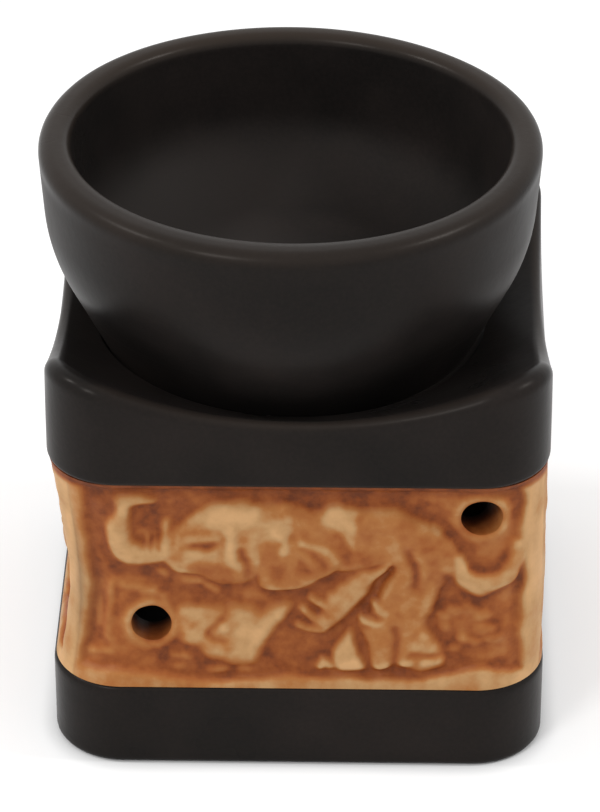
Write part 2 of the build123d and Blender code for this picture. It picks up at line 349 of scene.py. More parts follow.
# %% The canvas
class Canvas:
    """A flat sheet of clay with a height in millimetres and a stain at each sample.

    Forms are drawn on samples that wander by a third of a millimetre, as a hand does."""

    def __init__(self, stain):
        self.height = np.zeros(sample_up.shape)
        self.stain = np.full(sample_up.shape, float(stain))

    def window(self, line, margin):
        """The rows and columns of samples within a margin of a line, and the hand's wander more."""
        low = line[:, :2].min(axis=0) - margin - wander_reach
        high = line[:, :2].max(axis=0) + margin + wander_reach
        rows = slice(*np.searchsorted(canvas_up, (low[1], high[1])))
        columns = slice(*np.searchsorted(canvas_across, (low[0], high[0])))
        return rows, columns

    def lay(self, area, rise, cover, stain, blend):
        """Lay a form on the clay: the heights meet in a smooth maximum, and the form's stain comes
        in where the form is the higher of the two."""
        share = np.clip(0.5 + 0.5 * (rise - self.height[area]) / blend, 0, 1)
        self.height[area] = (
            self.height[area] * (1 - share) + rise * share + blend * share * (1 - share)
        )
        cover = cover * ease(rise - self.height[area], -0.6, -0.1)
        self.stain[area] += (stain - self.stain[area]) * cover

    def outline(self, points):
        """The window of a closed outline, and for each sample in it the distance to the outline
        and whether it lies inside."""
        line = flowing(points, closed=True)
        area = self.window(line, 1)
        across, up = drawn_across[area], drawn_up[area]
        gap, _ = to_line(across, up, line)
        return area, gap, within(across, up, line)

    def pillow(self, points, rise, edge, stain, blend=0.4, soft=0.9):
        """A swelling: within its edge the height follows a quarter circle up to the rise, and its
        stain comes in over the soft margin."""
        area, gap, inside = self.outline(points)
        share = np.clip(gap / edge, 0, 1)
        swell = np.where(inside, rise * np.sqrt(1 - (1 - share) ** 2), -1)
        self.lay(area, swell, np.where(inside, ease(gap, 0, soft), 0), stain, blend)

    def tint(self, points, stain, cover, soft=0.8):
        """Colour an outline without raising it: the stain comes in over the soft margin."""
        area, gap, inside = self.outline(points)
        self.stain[area] += (stain - self.stain[area]) * cover * np.where(inside, ease(gap, 0, soft), 0)

    def bar(self, points, rise, stain, blend=0.35):
        """A rod along points (across, up, radius), with a half ellipse as its section."""
        line = flowing(points)
        area = self.window(line, line[:, 2].max() + 1)
        gap, radius = to_line(drawn_across[area], drawn_up[area], line)
        share = np.clip(gap / radius, 0, 1)
        swell = np.where(gap < radius, rise * np.sqrt(1 - share**2), -1)
        self.lay(area, swell, ease(1 - share, 0, 0.45), stain, blend)

    def stroke(self, points, width, rise, stain, cover):
        """A tool stroke: a ridge with a bell as its section, exp(-(gap / width)^2), or a groove
        where the rise is below 0."""
        line = flowing(points)
        area = self.window(line, 3 * width)
        gap, _ = to_line(drawn_across[area], drawn_up[area], line)
        bell = np.exp(-((gap / width) ** 2))
        self.height[area] += rise * bell
        self.stain[area] += (stain - self.stain[area]) * cover * bell

    def wash(self, across, up, length, breadth, tilt, stain, cover):
        """A soft oval patch of stain at a tilt in degrees: a bell along it times one beside it."""
        angle = radians(tilt)
        along = (sample_across - across) * cos(angle) + (sample_up - up) * sin(angle)
        beside = (sample_up - up) * cos(angle) - (sample_across - across) * sin(angle)
        bell = cover * np.exp(-((along / length) ** 2) - (beside / breadth) ** 2)
        self.stain += (stain - self.stain) * bell


# %% [markdown]
# ## The elephant
# It walks to the left with its trunk curled up before its face. The mould maker cut it in broad,
# flat swellings, which the casting softened: the body and the haunch, the domed head, the ear
# that hangs over the neck, the forelegs in one block, one hind leg raised across the belly and
# one that stands. Each form is a pillow or a bar, laid from the back to the front. Tints colour
# what the wash took unevenly, and strokes cut the folds.
#
# The body is a long flat pillow, and the haunch a second one that swells more and blends into it.
# A pale ridge runs along the back, partly wiped clay and partly a painted highlight, with a dark stroke just
# outside it that paints the shade along its edge.

# %% Body and haunch
panel = Canvas(stain=0.8)


def stroke_all(strokes):
    """Draw each stroke of a table (line, width, rise, stain, cover)."""
    for stroke in strokes:
        panel.stroke(*stroke)


def print_height(form):
    """Print how high the sheet stands once a form is drawn."""
    print(form, "drawn, highest place", round(float(panel.height.max()), 2), "mm")


body_outline = (
    (-3.5, 53.2), (-0.5, 52.7), (2.5, 52.3), (5, 52.4), (9, 52.7), (12.5, 52.7), (16.5, 52.3), (19, 51.4),
    (21.5, 50.3), (23.8, 48.8), (25.6, 47.2), (27.1, 45.3), (28.1, 42.5), (27.6, 39.5), (26.3, 37),
    (25.2, 34.5), (24.2, 31.5), (23, 29.5), (23.2, 27.5), (24.4, 25), (24.8, 20.5), (18, 19.8),
    (12.8, 19.5), (12.5, 23), (11, 27), (9.5, 29.5), (12.4, 32), (13.8, 35), (15.6, 40), (13.5, 41),
    (11, 39.5), (8.8, 38.5), (6.5, 39.3), (2, 43),
)
haunch_outline = (
    (14.5, 50.6), (18.5, 51), (22.5, 49.5), (25.6, 46.6), (27, 42.6), (26.2, 38.6), (24.2, 35.8),
    (21, 34), (17, 34.6), (15.4, 37.8), (16, 41), (14, 45),
)
heel_outline = (
    (23.8, 39), (24.6, 37), (24.4, 34.5), (23.4, 31.2), (21.8, 30.4), (20.7, 32.5), (20.4, 35), (21.5, 37.5),
)
shoulder_patch = (
    (4, 50.4), (4.8, 52.3), (8, 52.6), (10.6, 52.4), (10.3, 49.8), (10.1, 47), (10, 43.8), (8.6, 44.4),
    (7, 46.8), (5.2, 49),
)
back_line = np.array((
    (-3, 53), (-0.5, 52.5), (2.5, 52.1), (5, 52.2), (9, 52.5), (12.5, 52.5), (16.5, 52.1), (19, 51.2),
    (21.4, 50.1), (23.6, 48.6), (25.4, 47), (26.9, 45.1), (27.8, 42.5),
))
shade_gap = 1.2
back_facing = pi / 2 * (1 - 0.85 * ease(back_line[:, 0], 14, 28))
back_shade = back_line + shade_gap * np.stack((np.cos(back_facing), np.sin(back_facing)), axis=1)

panel.pillow(body_outline, rise=1.5, edge=2.2, stain=0.6, soft=0.6)
panel.pillow(haunch_outline, rise=1.9, edge=5.0, stain=0.64, blend=1.2, soft=3)
panel.pillow(heel_outline, rise=1.9, edge=1.8, stain=0.42, blend=0.8, soft=1.4)
panel.tint(shoulder_patch, stain=0.2, cover=0.95, soft=0.8)

# line, width, rise, stain, cover
body_strokes = (
    # the first three rows: the back's ridge with its painted highlight, the painted shade just outside it,
    # and a painted highlight on the rump
    (back_line, 0.7, 0.25, 0.42, 0.7),
    (back_shade, 0.9, -0.15, 0.95, 0.7),
    (((23.4, 49.2), (24.7, 47.6)), 0.4, 0.2, 0.2, 0.8),
    (((16.5, 45), (18, 43), (18.8, 40), (18.5, 36.5)), 1.0, 0.3, 0.5, 0.6),
    (((19.2, 44.6), (20.1, 42), (20.2, 38.5), (19.7, 36.5)), 0.7, -0.6, 0.92, 0.75),
    (((20.5, 44.4), (21.9, 41.6), (22, 38.6), (21.5, 37)), 0.7, 0.35, 0.4, 0.7),
    (((25.8, 38.5), (25.2, 34), (24.2, 30.8), (22.5, 29.2), (22.9, 27)), 0.8, -0.35, 0.93, 0.7),
    (((17, 27.5), (16.8, 23), (16.7, 19.6)), 0.9, -0.8, 0.93, 0.7),
    (((10.6, 43.9), (11.2, 42), (10.9, 39.8)), 1.2, -0.1, 0.76, 0.5),
)
stroke_all(body_strokes)
print_height("body")

# %% [markdown]
# ## Head and trunk
# The head is a dome, pale on its crown and dark at the cheek. The trunk could be a chain of balls,
# but a bar whose radius changes along its line tapers evenly. It leaves the face to the left and
# curls up, and its folds are strokes side by side, cut and raised in turn.

# %% Head and trunk
head_outline = (
    (-21.5, 47), (-20, 49), (-19, 50.5), (-17.5, 52), (-15.5, 53.3), (-12.5, 54.4), (-10, 54.6),
    (-8, 54.3), (-5.5, 53.6), (-2.5, 53), (0, 51.5), (0, 48.5), (-1, 45), (-3.5, 41.8), (-6.5, 39),
    (-8.2, 36.5), (-12, 36.6), (-16, 37.2), (-19.5, 38.2), (-21.8, 39.6), (-22.8, 42), (-22.8, 45),
)
crown_patch = (
    (-16.4, 51.6), (-13.5, 53.6), (-10, 54.2), (-6.3, 53.8), (-5.6, 52.4), (-7.3, 50), (-10.5, 49.2),
    (-14.5, 48.9), (-17, 50),
)
neck_patch = ((-6, 53.2), (-3, 52.7), (-1.2, 51.2), (-2.4, 49.8), (-4.6, 50.6), (-6.2, 51.6))
cheek_patch = (
    (-18, 41.5), (-15, 41.8), (-12.5, 41.3), (-10, 41), (-7.3, 41), (-6.6, 38.5), (-7.5, 35.8),
    (-11, 35.6), (-14, 36.6), (-17, 37.6), (-18.6, 39.5),
)
trunk_line = (
    (-21.2, 44.4, 2.8), (-23.8, 42.7, 2.4), (-26.3, 42.1, 2.3), (-28.8, 43, 2.4), (-30.2, 45.3, 2.3),
    (-30.7, 48, 2.2), (-30.5, 50.7, 1.9), (-30, 52.9, 1.7),
)
trunk_tip = ((-30.2, 53.8, 1.4), (-27.2, 54.1, 1.2), (-24.2, 54, 0.8))
curl_patch = (
    (-26.7, 51.6), (-24.8, 52.8), (-21.5, 53.6), (-18.8, 52.9), (-20.6, 50.6), (-22.3, 48.6), (-24.2, 46.8),
    (-26.2, 47.2), (-27.2, 49.5),
)

panel.pillow(head_outline, rise=1.9, edge=4.0, stain=0.34, blend=0.6)
panel.tint(crown_patch, stain=0.08, cover=0.9, soft=1.8)
panel.tint(neck_patch, stain=0.5, cover=0.6)
panel.tint(cheek_patch, stain=0.72, cover=0.85, soft=1.2)
panel.bar(trunk_line, rise=1.6, stain=0.32, blend=0.5)
panel.bar(trunk_tip, rise=1.2, stain=0.38, blend=0.5)
panel.tint(curl_patch, stain=0.93, cover=0.9, soft=1.3)

# line, width, rise, stain, cover
trunk_strokes = (
    (((-26.5, 45.4), (-26.3, 43.4)), 0.45, -0.35, 0.8, 0.7),
    (((-25.7, 45.8), (-25.6, 43)), 0.42, 0.35, 0.28, 0.7),
    (((-24.9, 46.2), (-24.7, 43.6)), 0.42, -0.45, 0.9, 0.85),
    (((-24.1, 46.6), (-24, 43.4)), 0.45, 0.4, 0.26, 0.8),
    (((-23.3, 47.4), (-23.1, 44)), 0.42, -0.45, 0.88, 0.85),
    (((-22.2, 48.8), (-21.8, 46), (-21.6, 43.4)), 0.65, 0.45, 0.2, 0.8),
    (((-20.6, 48.8), (-20.3, 46)), 0.4, -0.35, 0.6, 0.7),
    # painted shade under the trunk
    (((-33.8, 43), (-32, 40.4), (-29.5, 38.6), (-26, 38), (-23.5, 38.7)), 0.8, -0.1, 0.92, 0.6),
)
stroke_all(trunk_strokes)
print_height("head and trunk")

# %% [markdown]
# ## Face and ear
# The brow, the eye and the jaw were cut with single strokes of a tool, so they are strokes here
# too. The ear is a pillow that overlaps the head and the body. Its rim is rolled, which a pale
# raised stroke along its edge and a dark cut inside it show.

# %% Face and ear
ear_outline = (
    (-6.3, 46.5), (-4.5, 46.5), (-2.5, 46.7), (0, 47.2), (2, 46.6), (4.4, 45), (6.3, 43.2), (7.3, 41.3),
    (6.6, 39.3), (4.4, 37.6), (1.5, 36.2), (-1.5, 35.6), (-5, 35.5), (-6.6, 36.5), (-7, 39.5), (-6.6, 43.5),
)
# line, width, rise, stain, cover
face_strokes = (
    (((-19, 47.2), (-16.5, 48.3), (-13.8, 48), (-12.6, 46.8)), 0.5, -0.3, 0.55, 0.6),
    (((-18.2, 46.4), (-16, 47), (-13.9, 46.5)), 0.5, 0.35, 0.24, 0.7),
    (((-17.6, 45), (-16, 45), (-14.5, 45.1)), 1.0, -0.55, 0.9, 0.9),
    (((-18.2, 43.4), (-16, 42.9), (-13.9, 43.5)), 0.6, 0.35, 0.22, 0.7),
    (((-12.8, 46.5), (-12.6, 43)), 0.5, -0.25, 0.52, 0.5),
    (((-11.5, 48.5), (-11.2, 45), (-11, 41.4)), 0.8, 0.5, 0.12, 0.85),
    (((-9.4, 47), (-9.3, 44.5)), 0.5, -0.2, 0.45, 0.6),
    (((-9.2, 43.8), (-9, 42), (-8.8, 39), (-8.6, 36.6)), 0.7, -0.55, 0.88, 0.8),
    (((-7.5, 47.5), (-7.5, 44.5), (-7.1, 41.5)), 0.65, 0.4, 0.18, 0.8),
    (((-19.9, 41), (-19.6, 38.9)), 0.6, 0.35, 0.3, 0.7),
    (((-23.3, 38.4), (-22.7, 38.2)), 0.65, 0.7, 0.3, 0.8),
    (((-19.2, 36.4), (-16.5, 36.3), (-13.8, 35.4)), 0.6, 0.5, 0.36, 0.75),
    (((-20, 34.9), (-17, 34.7)), 0.8, -0.2, 0.92, 0.7),
)
ear_strokes = (
    (((1.4, 46.4), (4, 44.8), (6, 43), (6.9, 41.5)), 0.75, 0.45, 0.14, 0.85),
    (((6.7, 40.8), (6.1, 39.3), (4.5, 38)), 0.7, 0.3, 0.36, 0.7),
    (((3.2, 37.2), (1, 36.4), (-2, 36.1), (-4.5, 36.2)), 0.8, 0.35, 0.28, 0.7),
    (((1, 45), (3.5, 42.6), (4.8, 40.5)), 0.55, -0.45, 0.82, 0.7),
    (((0.2, 43), (1.5, 41), (2.2, 39.5)), 0.5, -0.25, 0.74, 0.6),
    (((0.3, 44), (2.2, 41.8), (3.6, 40)), 0.6, 0.2, 0.46, 0.5),
    (((-3.9, 47.7), (-2.4, 47), (-1.8, 45.6), (-2.3, 44)), 0.7, 0.35, 0.16, 0.85),
    (((-1.3, 51), (-1.2, 50.4)), 0.45, 0.3, 0.25, 0.8),
)
stroke_all(face_strokes)
panel.pillow(ear_outline, rise=2.1, edge=2.0, stain=0.62, soft=0.5)
stroke_all(ear_strokes)
print_height("face and ear")

# %% [markdown]
# ## Forelegs
# The two forelegs are one block with a groove between them, as a mould maker cuts legs that stand
# side by side. The one at the right was wiped palest, so it is a softer pillow of its own.

# %% Forelegs
foreleg_block = (
    (-20.3, 31.5), (-18.5, 32.7), (-13.5, 32.6), (-10.5, 32.8), (-8.5, 32.4), (-6, 31.8), (-3.5, 32.9),
    (-1.1, 32.6), (-0.9, 30.5), (-2.8, 27.6), (-4.6, 24.6), (-6, 22), (-7.4, 20.6), (-10, 20),
    (-13.2, 20.4), (-15.8, 21.4), (-17.2, 23.4), (-20, 24.6), (-21, 28.5),
)
near_foreleg = (
    (-20.4, 31.3), (-18.3, 32.4), (-14, 32.3), (-13.2, 31), (-13.8, 29), (-14.8, 27), (-15.5, 25.2),
    (-17.5, 24), (-20, 24.7), (-20.8, 28),
)
far_foreleg = (
    (-12.2, 30.5), (-10.5, 32.2), (-8.5, 31.9), (-6, 31.2), (-3.6, 32.5), (-1.3, 32.3), (-1.1, 30.5),
    (-2.9, 27.7), (-4.8, 24.7), (-6.2, 22.2), (-8, 20.8), (-10.6, 20.4), (-13.4, 21), (-15.6, 22),
    (-16.6, 23.6), (-14, 25), (-12.4, 25), (-12, 27), (-12.2, 28.8),
)
# line, width, rise, stain, cover
foreleg_strokes = (
    # a painted highlight on the far foreleg
    (((-13, 28.2), (-12.4, 27.2)), 0.6, 0.4, 0.05, 0.9),
    (((-12.3, 32.8), (-13, 30), (-14.4, 27.6), (-14.9, 26.4)), 0.55, -0.45, 0.8, 0.8),
    (((-14.9, 26.1), (-13.8, 25.4), (-12.6, 24.9)), 0.55, -0.45, 0.86, 0.8),
    (((-11.4, 33.2), (-10, 32.2), (-9.2, 31.3)), 0.45, -0.35, 0.8, 0.7),
    (((-9, 34.2), (-7, 33.4), (-5.2, 32.9)), 0.7, 0.1, 0.5, 0.6),
    (((-21.3, 22.1), (-18.8, 21.8)), 0.6, 0.5, 0.4, 0.7),
    (((-14.8, 19.2), (-12.3, 19.1)), 0.6, 0.6, 0.45, 0.7),
    (((-10.2, 19.4), (-8.6, 19.4)), 0.5, 0.5, 0.5, 0.6),
    (((-20.8, 19.5), (-20, 19.4)), 0.5, 0.4, 0.5, 0.6),
)
panel.pillow(foreleg_block, rise=1.2, edge=2.8, stain=0.46, soft=2.2)
panel.tint(near_foreleg, stain=0.3, cover=0.85, soft=1.2)
panel.pillow(far_foreleg, rise=1.3, edge=3.4, stain=0.14, blend=0.9, soft=2.4)
stroke_all(foreleg_strokes)
print_height("forelegs")

# %% [markdown]
# ## Hind legs and toes
# The raised leg is a bar across the belly, thickest at the knee. The feet that stand are pillows
# on the body's own legs, and each toe is a short fat bar, which takes fewer numbers than an
# outline and looks like the dab of clay that it is.

# %% Hind legs and toes
raised_leg = (
    (15.2, 41.2, 0.8), (13.6, 39.8, 1.3), (11.5, 38, 1.7), (8.8, 35.1, 2.1), (6.7, 32.5, 2.0),
    (4.9, 30.1, 1.8), (3.3, 28.2, 1.4),
)
far_foot = (
    (8.4, 28.2), (9.6, 27), (10.6, 24.6), (11.3, 22), (11.8, 19.2), (9, 18.9), (6.8, 19.1), (6.1, 21.4),
    (6.3, 24), (7.3, 26.6),
)
near_foot = (
    (18.7, 23.3), (19.2, 25.2), (20.6, 27.2), (21.9, 27.6), (23.2, 26), (24, 23.6), (21.2, 23),
)
# line, width, rise, stain, cover
leg_strokes = (
    (((15.3, 40), (14, 37), (13.4, 34.6)), 0.95, -0.8, 0.93, 0.8),
    (((13, 34), (10.8, 31.6), (8.6, 29.2), (6.4, 27)), 0.8, -0.4, 0.9, 0.75),
    (((15.9, 38), (15.4, 36), (15, 34.4)), 0.6, 0.35, 0.42, 0.7),
    (((2.6, 32.6), (3.8, 31.4), (4.6, 30.6)), 0.4, -0.45, 0.78, 0.8),
    (((1.6, 29.8), (2.6, 28.8), (3.4, 28.2)), 0.4, -0.45, 0.78, 0.8),
    (((11, 32), (12.6, 31.1), (13.8, 30.4)), 0.5, -0.45, 0.92, 0.8),
    (((8.8, 29.6), (10.3, 28.9), (11.5, 28.4)), 0.6, -0.4, 0.9, 0.7),
    (((19, 22.5), (21.5, 22.6), (24.5, 22.8)), 0.45, -0.5, 0.84, 0.7),
)
# line with radii, rise, stain
toes = (
    (((2.1, 34, 0.7), (3.5, 32.7, 0.9), (5, 31.5, 0.9)), 1.3, 0.46),
    (((0.7, 31.6, 0.7), (1.9, 30.3, 0.9), (3.2, 29.2, 0.9)), 1.3, 0.46),
    (((0.3, 28.1, 0.8), (2, 27.6, 0.9), (3.8, 27.4, 0.8)), 1.1, 0.46),
    (((13, 33.2, 0.7), (14.2, 31.8, 0.8), (15.6, 31.1, 0.9)), 1.8, 0.26),
    (((10.4, 30.4, 0.6), (12, 29.7, 0.7), (14, 29.2, 0.8)), 1.8, 0.36),
    (((3.8, 20, 0.9), (4.6, 21, 0.9), (5.6, 20.2, 1.0)), 1.4, 0.28),
    (((13.7, 20.1, 0.9), (15.4, 20.4, 0.95)), 1.7, 0.3),
    (((18.2, 21, 0.9), (19.3, 21.2, 0.9)), 1.9, 0.26),
    (((21.8, 21.4, 0.75), (24.2, 21.8, 0.8)), 1.8, 0.28),
)
panel.bar(raised_leg, rise=1.7, stain=0.42, blend=0.5)
panel.pillow(far_foot, rise=1.5, edge=2.0, stain=0.12, soft=1.1)
panel.pillow(near_foot, rise=2.0, edge=1.6, stain=0.32, blend=0.6, soft=0.9)
stroke_all(leg_strokes)
for line, rise, stain in toes:
    panel.bar(line, rise, stain)
print_height("hind legs and toes")

# %% [markdown]
# ## Tail, flower and twigs
# The tail swings out to the right as one bar. The flower under it is a ring of dabs, each a bar
# that is hardly longer than it is wide, and the twigs are thin raised strokes.

# %% Tail, flower and twigs
tail_line = (
    (27.4, 42.6, 0.8), (27.8, 40.4, 1.1), (28.4, 38.6, 1.7), (29.8, 37.3, 2.2), (31.7, 36.9, 2.3),
    (33.8, 37.6, 2.2), (35.6, 39.2, 2.0), (36.6, 41.6, 1.7), (37, 44.6, 1.3),
)
petals = (
    (25, 30.2, 1.1), (25.2, 28, 1.1), (27, 31.6, 1.2), (29.5, 32, 1.2), (31.8, 30.6, 1.3),
    (32.4, 27.8, 1.3), (33.5, 25.8, 1.1), (30.8, 25.2, 0.9), (27, 24, 1.0),
)
# line, width, rise, stain, cover
twig_strokes = (
    (((-32.2, 35.4), (-32.2, 30), (-32.6, 25)), 0.8, 0.4, 0.46, 0.6),
    (((-30.8, 34.8), (-30.7, 29)), 0.6, -0.2, 0.84, 0.5),
    (((-30, 34.9), (-28, 34.6), (-25.6, 33.9)), 0.6, 0.3, 0.46, 0.6),
    (((-25.2, 34.6), (-23.2, 33.6), (-22, 32), (-21.6, 30)), 0.6, 0.4, 0.44, 0.6),
    (((-36.4, 21.7), (-34.5, 22), (-32.4, 21.9)), 0.6, 0.45, 0.3, 0.8),
    (((28.5, 25.9), (28.8, 25.6)), 0.75, 0.6, 0.3, 0.8),
)
panel.bar(tail_line, rise=1.4, stain=0.27, blend=0.5)
petal_half = 0.3
for across, up, radius in petals:
    petal = ((across - petal_half, up, radius), (across + petal_half, up, radius))
    panel.bar(petal, rise=0.55, stain=0.62)
stroke_all(twig_strokes)
print_height("tail, flower and twigs")

# %% [markdown]
# ## Stain that was brushed on and wiped off
# The clay was brushed with a brown wash and wiped while wet. It could be a painted image, but worked out
# from the heights it always lies where the clay is low. The wash stays in the hollows and comes off the high
# places, so the stain follows the difference between the height and its own blur: a wide blur finds the
# hollows and a narrow one the creases, whose dark lines are partly wash and partly painted shade. Some
# patches were wiped harder or missed, and those are laid one by one; two of them under the collar are
# painted shade. Each vent has a raised rim that the cloth wiped pale.

# %% Washes
# across, up, length, breadth, tilt, stain, cover
washes = (
    (-34.6, 47, 1.2, 9, 0, 0.87, 0.8),
    (-34.8, 29, 1.0, 5, 0, 0.6, 0.6),
    (-28, 48.8, 0.9, 2.6, 0, 0.7, 0.6),
    (-31, 48, 0.9, 2.2, 0, 0.24, 0.6),
    (-27, 41.2, 3, 0.9, 0, 0.22, 0.6),
    (-17, 55, 4, 0.9, 20, 0.9, 0.8),
    (-20.3, 42.6, 1.0, 1.2, 0, 0.6, 0.5),
    (-5.6, 48, 1.7, 2.2, 0, 0.14, 0.8),
    (-4.9, 44.6, 0.9, 1.2, 0, 0.6, 0.4),
    (-3.5, 40.5, 1.2, 2, 0, 0.72, 0.5),
    (-0.2, 40.2, 0.9, 1.2, 0, 0.78, 0.6),
    (8.8, 42, 1.1, 3.4, 12, 0.84, 0.6),
    (4.6, 48.3, 1.6, 1.0, -45, 0.76, 0.5),
    (17, 48, 5.0, 2.0, 0, 0.64, 0.4),
    (18.5, 32.4, 2.2, 2.0, 0, 0.48, 0.6),
    (-14, 34, 6, 0.7, 0, 0.9, 0.6),
    (-1, 34.2, 3, 0.7, 0, 0.9, 0.6),
    (-9, 26, 2.0, 3.0, 0, 0.12, 0.6),
    (-10, 20.6, 3.4, 0.8, 0, 0.5, 0.5),
    (-27, 33, 2.4, 0.6, 0, 0.86, 0.5),
    (-34, 23.7, 0.8, 0.7, 0, 0.72, 0.6),
    (-30.5, 20.8, 4, 1.1, 0, 0.92, 0.7),
    (-24.5, 22, 2, 1.4, 0, 0.9, 0.6),
    (-17, 20, 2, 1, 0, 0.8, 0.4),
    (2, 24, 3.2, 2.4, 20, 0.9, 0.75),
    (-3.5, 21, 1.6, 1.6, 0, 0.93, 0.7),
    (30, 44.6, 0.9, 2.2, 10, 0.88, 0.6),
    (31.8, 39.8, 1.6, 0.5, 0, 0.86, 0.6),
    (33.8, 43.4, 1.8, 2.4, 0, 0.66, 0.8),
    (29.5, 28.5, 1.3, 1.2, 0, 0.88, 0.6),
    (31, 22.6, 3, 0.7, 0, 0.66, 0.6),
    (26.5, 21.6, 1.6, 1.6, 0, 0.9, 0.7),
    (36.5, 28, 1.2, 6, 0, 0.66, 0.7),
    # the next two rows are painted shade: the collar's shadow along the top of the panel
    (7, 55.4, 18, 1.0, 0, 0.93, 0.9),
    (-9, 56.4, 12, 0.9, 0, 0.95, 0.85),
    (36, 47, 1.0, 2.4, 0, 0.5, 0.5),
    (25, 52.5, 2.2, 2.2, 0, 0.74, 0.6),
)
for wash in washes:
    panel.wash(*wash)
print("washes", len(washes))

# %% Rims of the vents
vent_radius = 3.5
vent_places = ((-25.2, 28.1), (31.2, 50.7))
rim_height = 0.8
rim_middle = 0.6
rim_spread = 0.8
pale_stain = 0.34
bore_stain = 0.85
for across, up in vent_places:
    from_centre = np.hypot(sample_across - across, sample_up - up)
    rim = np.exp(-(((from_centre - vent_radius - rim_middle) / rim_spread) ** 2))
    rim = rim * (0.75 + 0.2 * mottle(6, 1.2))
    panel.height += np.maximum(rim_height - panel.height, 0) * rim
    panel.stain += (pale_stain - panel.stain) * rim
    sunk = ease(vent_radius + 0.1 - from_centre, 0, 0.5)
    panel.height -= 0.4 * sunk
    panel.stain += (bore_stain - panel.stain) * sunk
print_height("vent rims")

# %% The casting softens it and the cloth wipes it
hollow_share = 0.2
crease_wash_and_shade_share = 0.4
darkest_wash = 0.89
panel.height = 0.9 * soften(panel.height, 0.36)
hollow = soften(panel.height, 1.3) - panel.height
# the crease term darkens the creases: partly wash, partly painted shade
crease_wash_and_shade = np.maximum(soften(panel.height, 0.55) - panel.height, 0.0)
kept_wash = soften(panel.stain, 0.3) + hollow_share * hollow + crease_wash_and_shade_share * crease_wash_and_shade
panel.stain = np.minimum(kept_wash, darkest_wash)
uneven = 0.05 * np.tanh(1.5 * mottle(3, 0.5)) + 0.09 * np.tanh(1.5 * mottle(4, 1.2))
panel.stain += uneven * (1 - 0.75 * ease(panel.stain, 0.78, 0.95))
panel.height += 0.05 * mottle(5, 0.8) + 0.09 * mottle(7, 2.0)
print("relief up to", round(float(panel.height.max()), 2), "mm")

# %% [markdown]
# ## The frame round a panel
# A plain border frames each panel. It was finished by hand, so its inner edge wanders, and the strip along
# the foot rises and falls like ground. The field inside it lies a little over a millimetre deep. Four ruled
# lines would look machined, so each line gets a seeded wander. The posts have upright streaks from the
# cloth, wash lies dark along the edge of the field, and the clay right under the collar is darkened as
# painted shade, the shadow of the collar's overhang.

# %% Frames
field_depth = 1.2
top_edge = 56.4
edge_stain = 0.95
collar_shadow_stain = 1.05
ground_line = (
    (-47, 18.8), (-36, 18.6), (-33, 19), (-26, 18.9), (-22, 17.9), (-16, 17.4), (-6, 17.6), (-2, 18.4),
    (4, 18.3), (14, 18), (22, 18.1), (26, 19.3), (31, 20.4), (35, 19.7), (38, 18.8), (47, 18.6),
)
left_line = ((14, -38.2), (19, -37.2), (25, -36.6), (35, -36.2), (42, -36.2), (60, -36.2))
right_line = ((14, 38.2), (25, 38), (35, 37.9), (45, 37.7), (60, 37.7))


def level(line, places):
    """The second number of a line at places along its first one, straight between its points."""
    knots, values = np.array(line, float).T
    return np.interp(places, knots, values)


def depth_inside():
    """How far each sample lies inside the border: the least of its four gaps to the edges."""
    left = level(left_line, sample_up) + 0.25 * mottle(11, 1.5)
    right = level(right_line, sample_up) + 0.25 * mottle(12, 1.5)
    ground = level(ground_line, sample_across) + 0.15 * mottle(13, 1.2)
    beside = np.minimum(sample_across - left, right - sample_across)
    return np.minimum(beside, np.minimum(sample_up - ground, top_edge - sample_up))


def framed(canvas):
    """The height and stain of a canvas with the border laid over it, as two fields.

    The border eases in where the depth inside falls to 0. Its stain is a pale one with patches
    and streaks, paler still at the right and browner along the foot at the left."""
    inside = depth_inside()
    border = ease(-inside, -0.7, 0.8)
    cover = ease(-inside, -0.3, 0.7)
    height = np.maximum(canvas.height * (1 - cover), -0.3) * (1 - cover) + field_depth * border
    streaks = soften(np.repeat(mottle(14, 0.5)[:1], len(canvas_up), axis=0), 0.3)
    pale_right = ease(sample_across, 33, 40)
    brown_foot = ease(20 - sample_up, 0, 2) * (1 - ease(sample_across, -30, -8))
    plain = pale_stain - 0.2 * pale_right + 0.2 * brown_foot + 0.08 * mottle(15, 1.6) + 0.05 * streaks
    stain = canvas.stain + (plain - canvas.stain) * cover
    edge = np.exp(-(((inside - 0.7) / 0.9) ** 2)) * ease(0.8 - canvas.height, 0, 0.6)
    stain += (edge_stain - stain) * 0.45 * edge
    # painted shade: the clay right under the collar is darkened as the shadow of its overhang
    under_collar_shadow = ease(sample_up, 55.4, 56.8)
    return height, stain + (collar_shadow_stain - stain) * 0.85 * under_collar_shadow


panel_height, panel_stain = framed(panel)
print("panel stain on average", round(float(panel_stain.mean()), 2))

# %% [markdown]
# ## The back
# The tealight goes in at the back through an arch with upright sides and a round top. Its border
# stands level with the frame, and the field beside it is plain clay with the marks of the sponge.
# The border is drawn by its distance from the arch, so it has one width all the way round. The
# hole itself is cut later.

# %% The arch panel
arch_half = 24.0
arch_head = 46.0
arch_border = 3.0
springing = arch_head - arch_half


def arch_gap(across, up):
    """The distance outside the arch: from its upright sides below the springing, and from its
    round top above it."""
    return np.hypot(across, np.maximum(up - springing, 0)) - arch_half


back_panel = Canvas(stain=0.6)
from_arch = arch_gap(sample_across, sample_up)
moulding = ease(arch_border + 0.6 - from_arch, 0, 1.4)
moulding_stain = 0.25
back_panel.height += field_depth * moulding + 0.06 * mottle(21, 2.0)
back_panel.stain += (moulding_stain - back_panel.stain) * moulding
back_panel.height = soften(back_panel.height, 0.3)
back_panel.stain += 0.5 * (soften(back_panel.height, 1.4) - back_panel.height) + 0.12 * mottle(22, 2.4)
back_height, back_stain = framed(back_panel)
print("arch", 2 * arch_half, "mm wide, top at", arch_head, "mm")

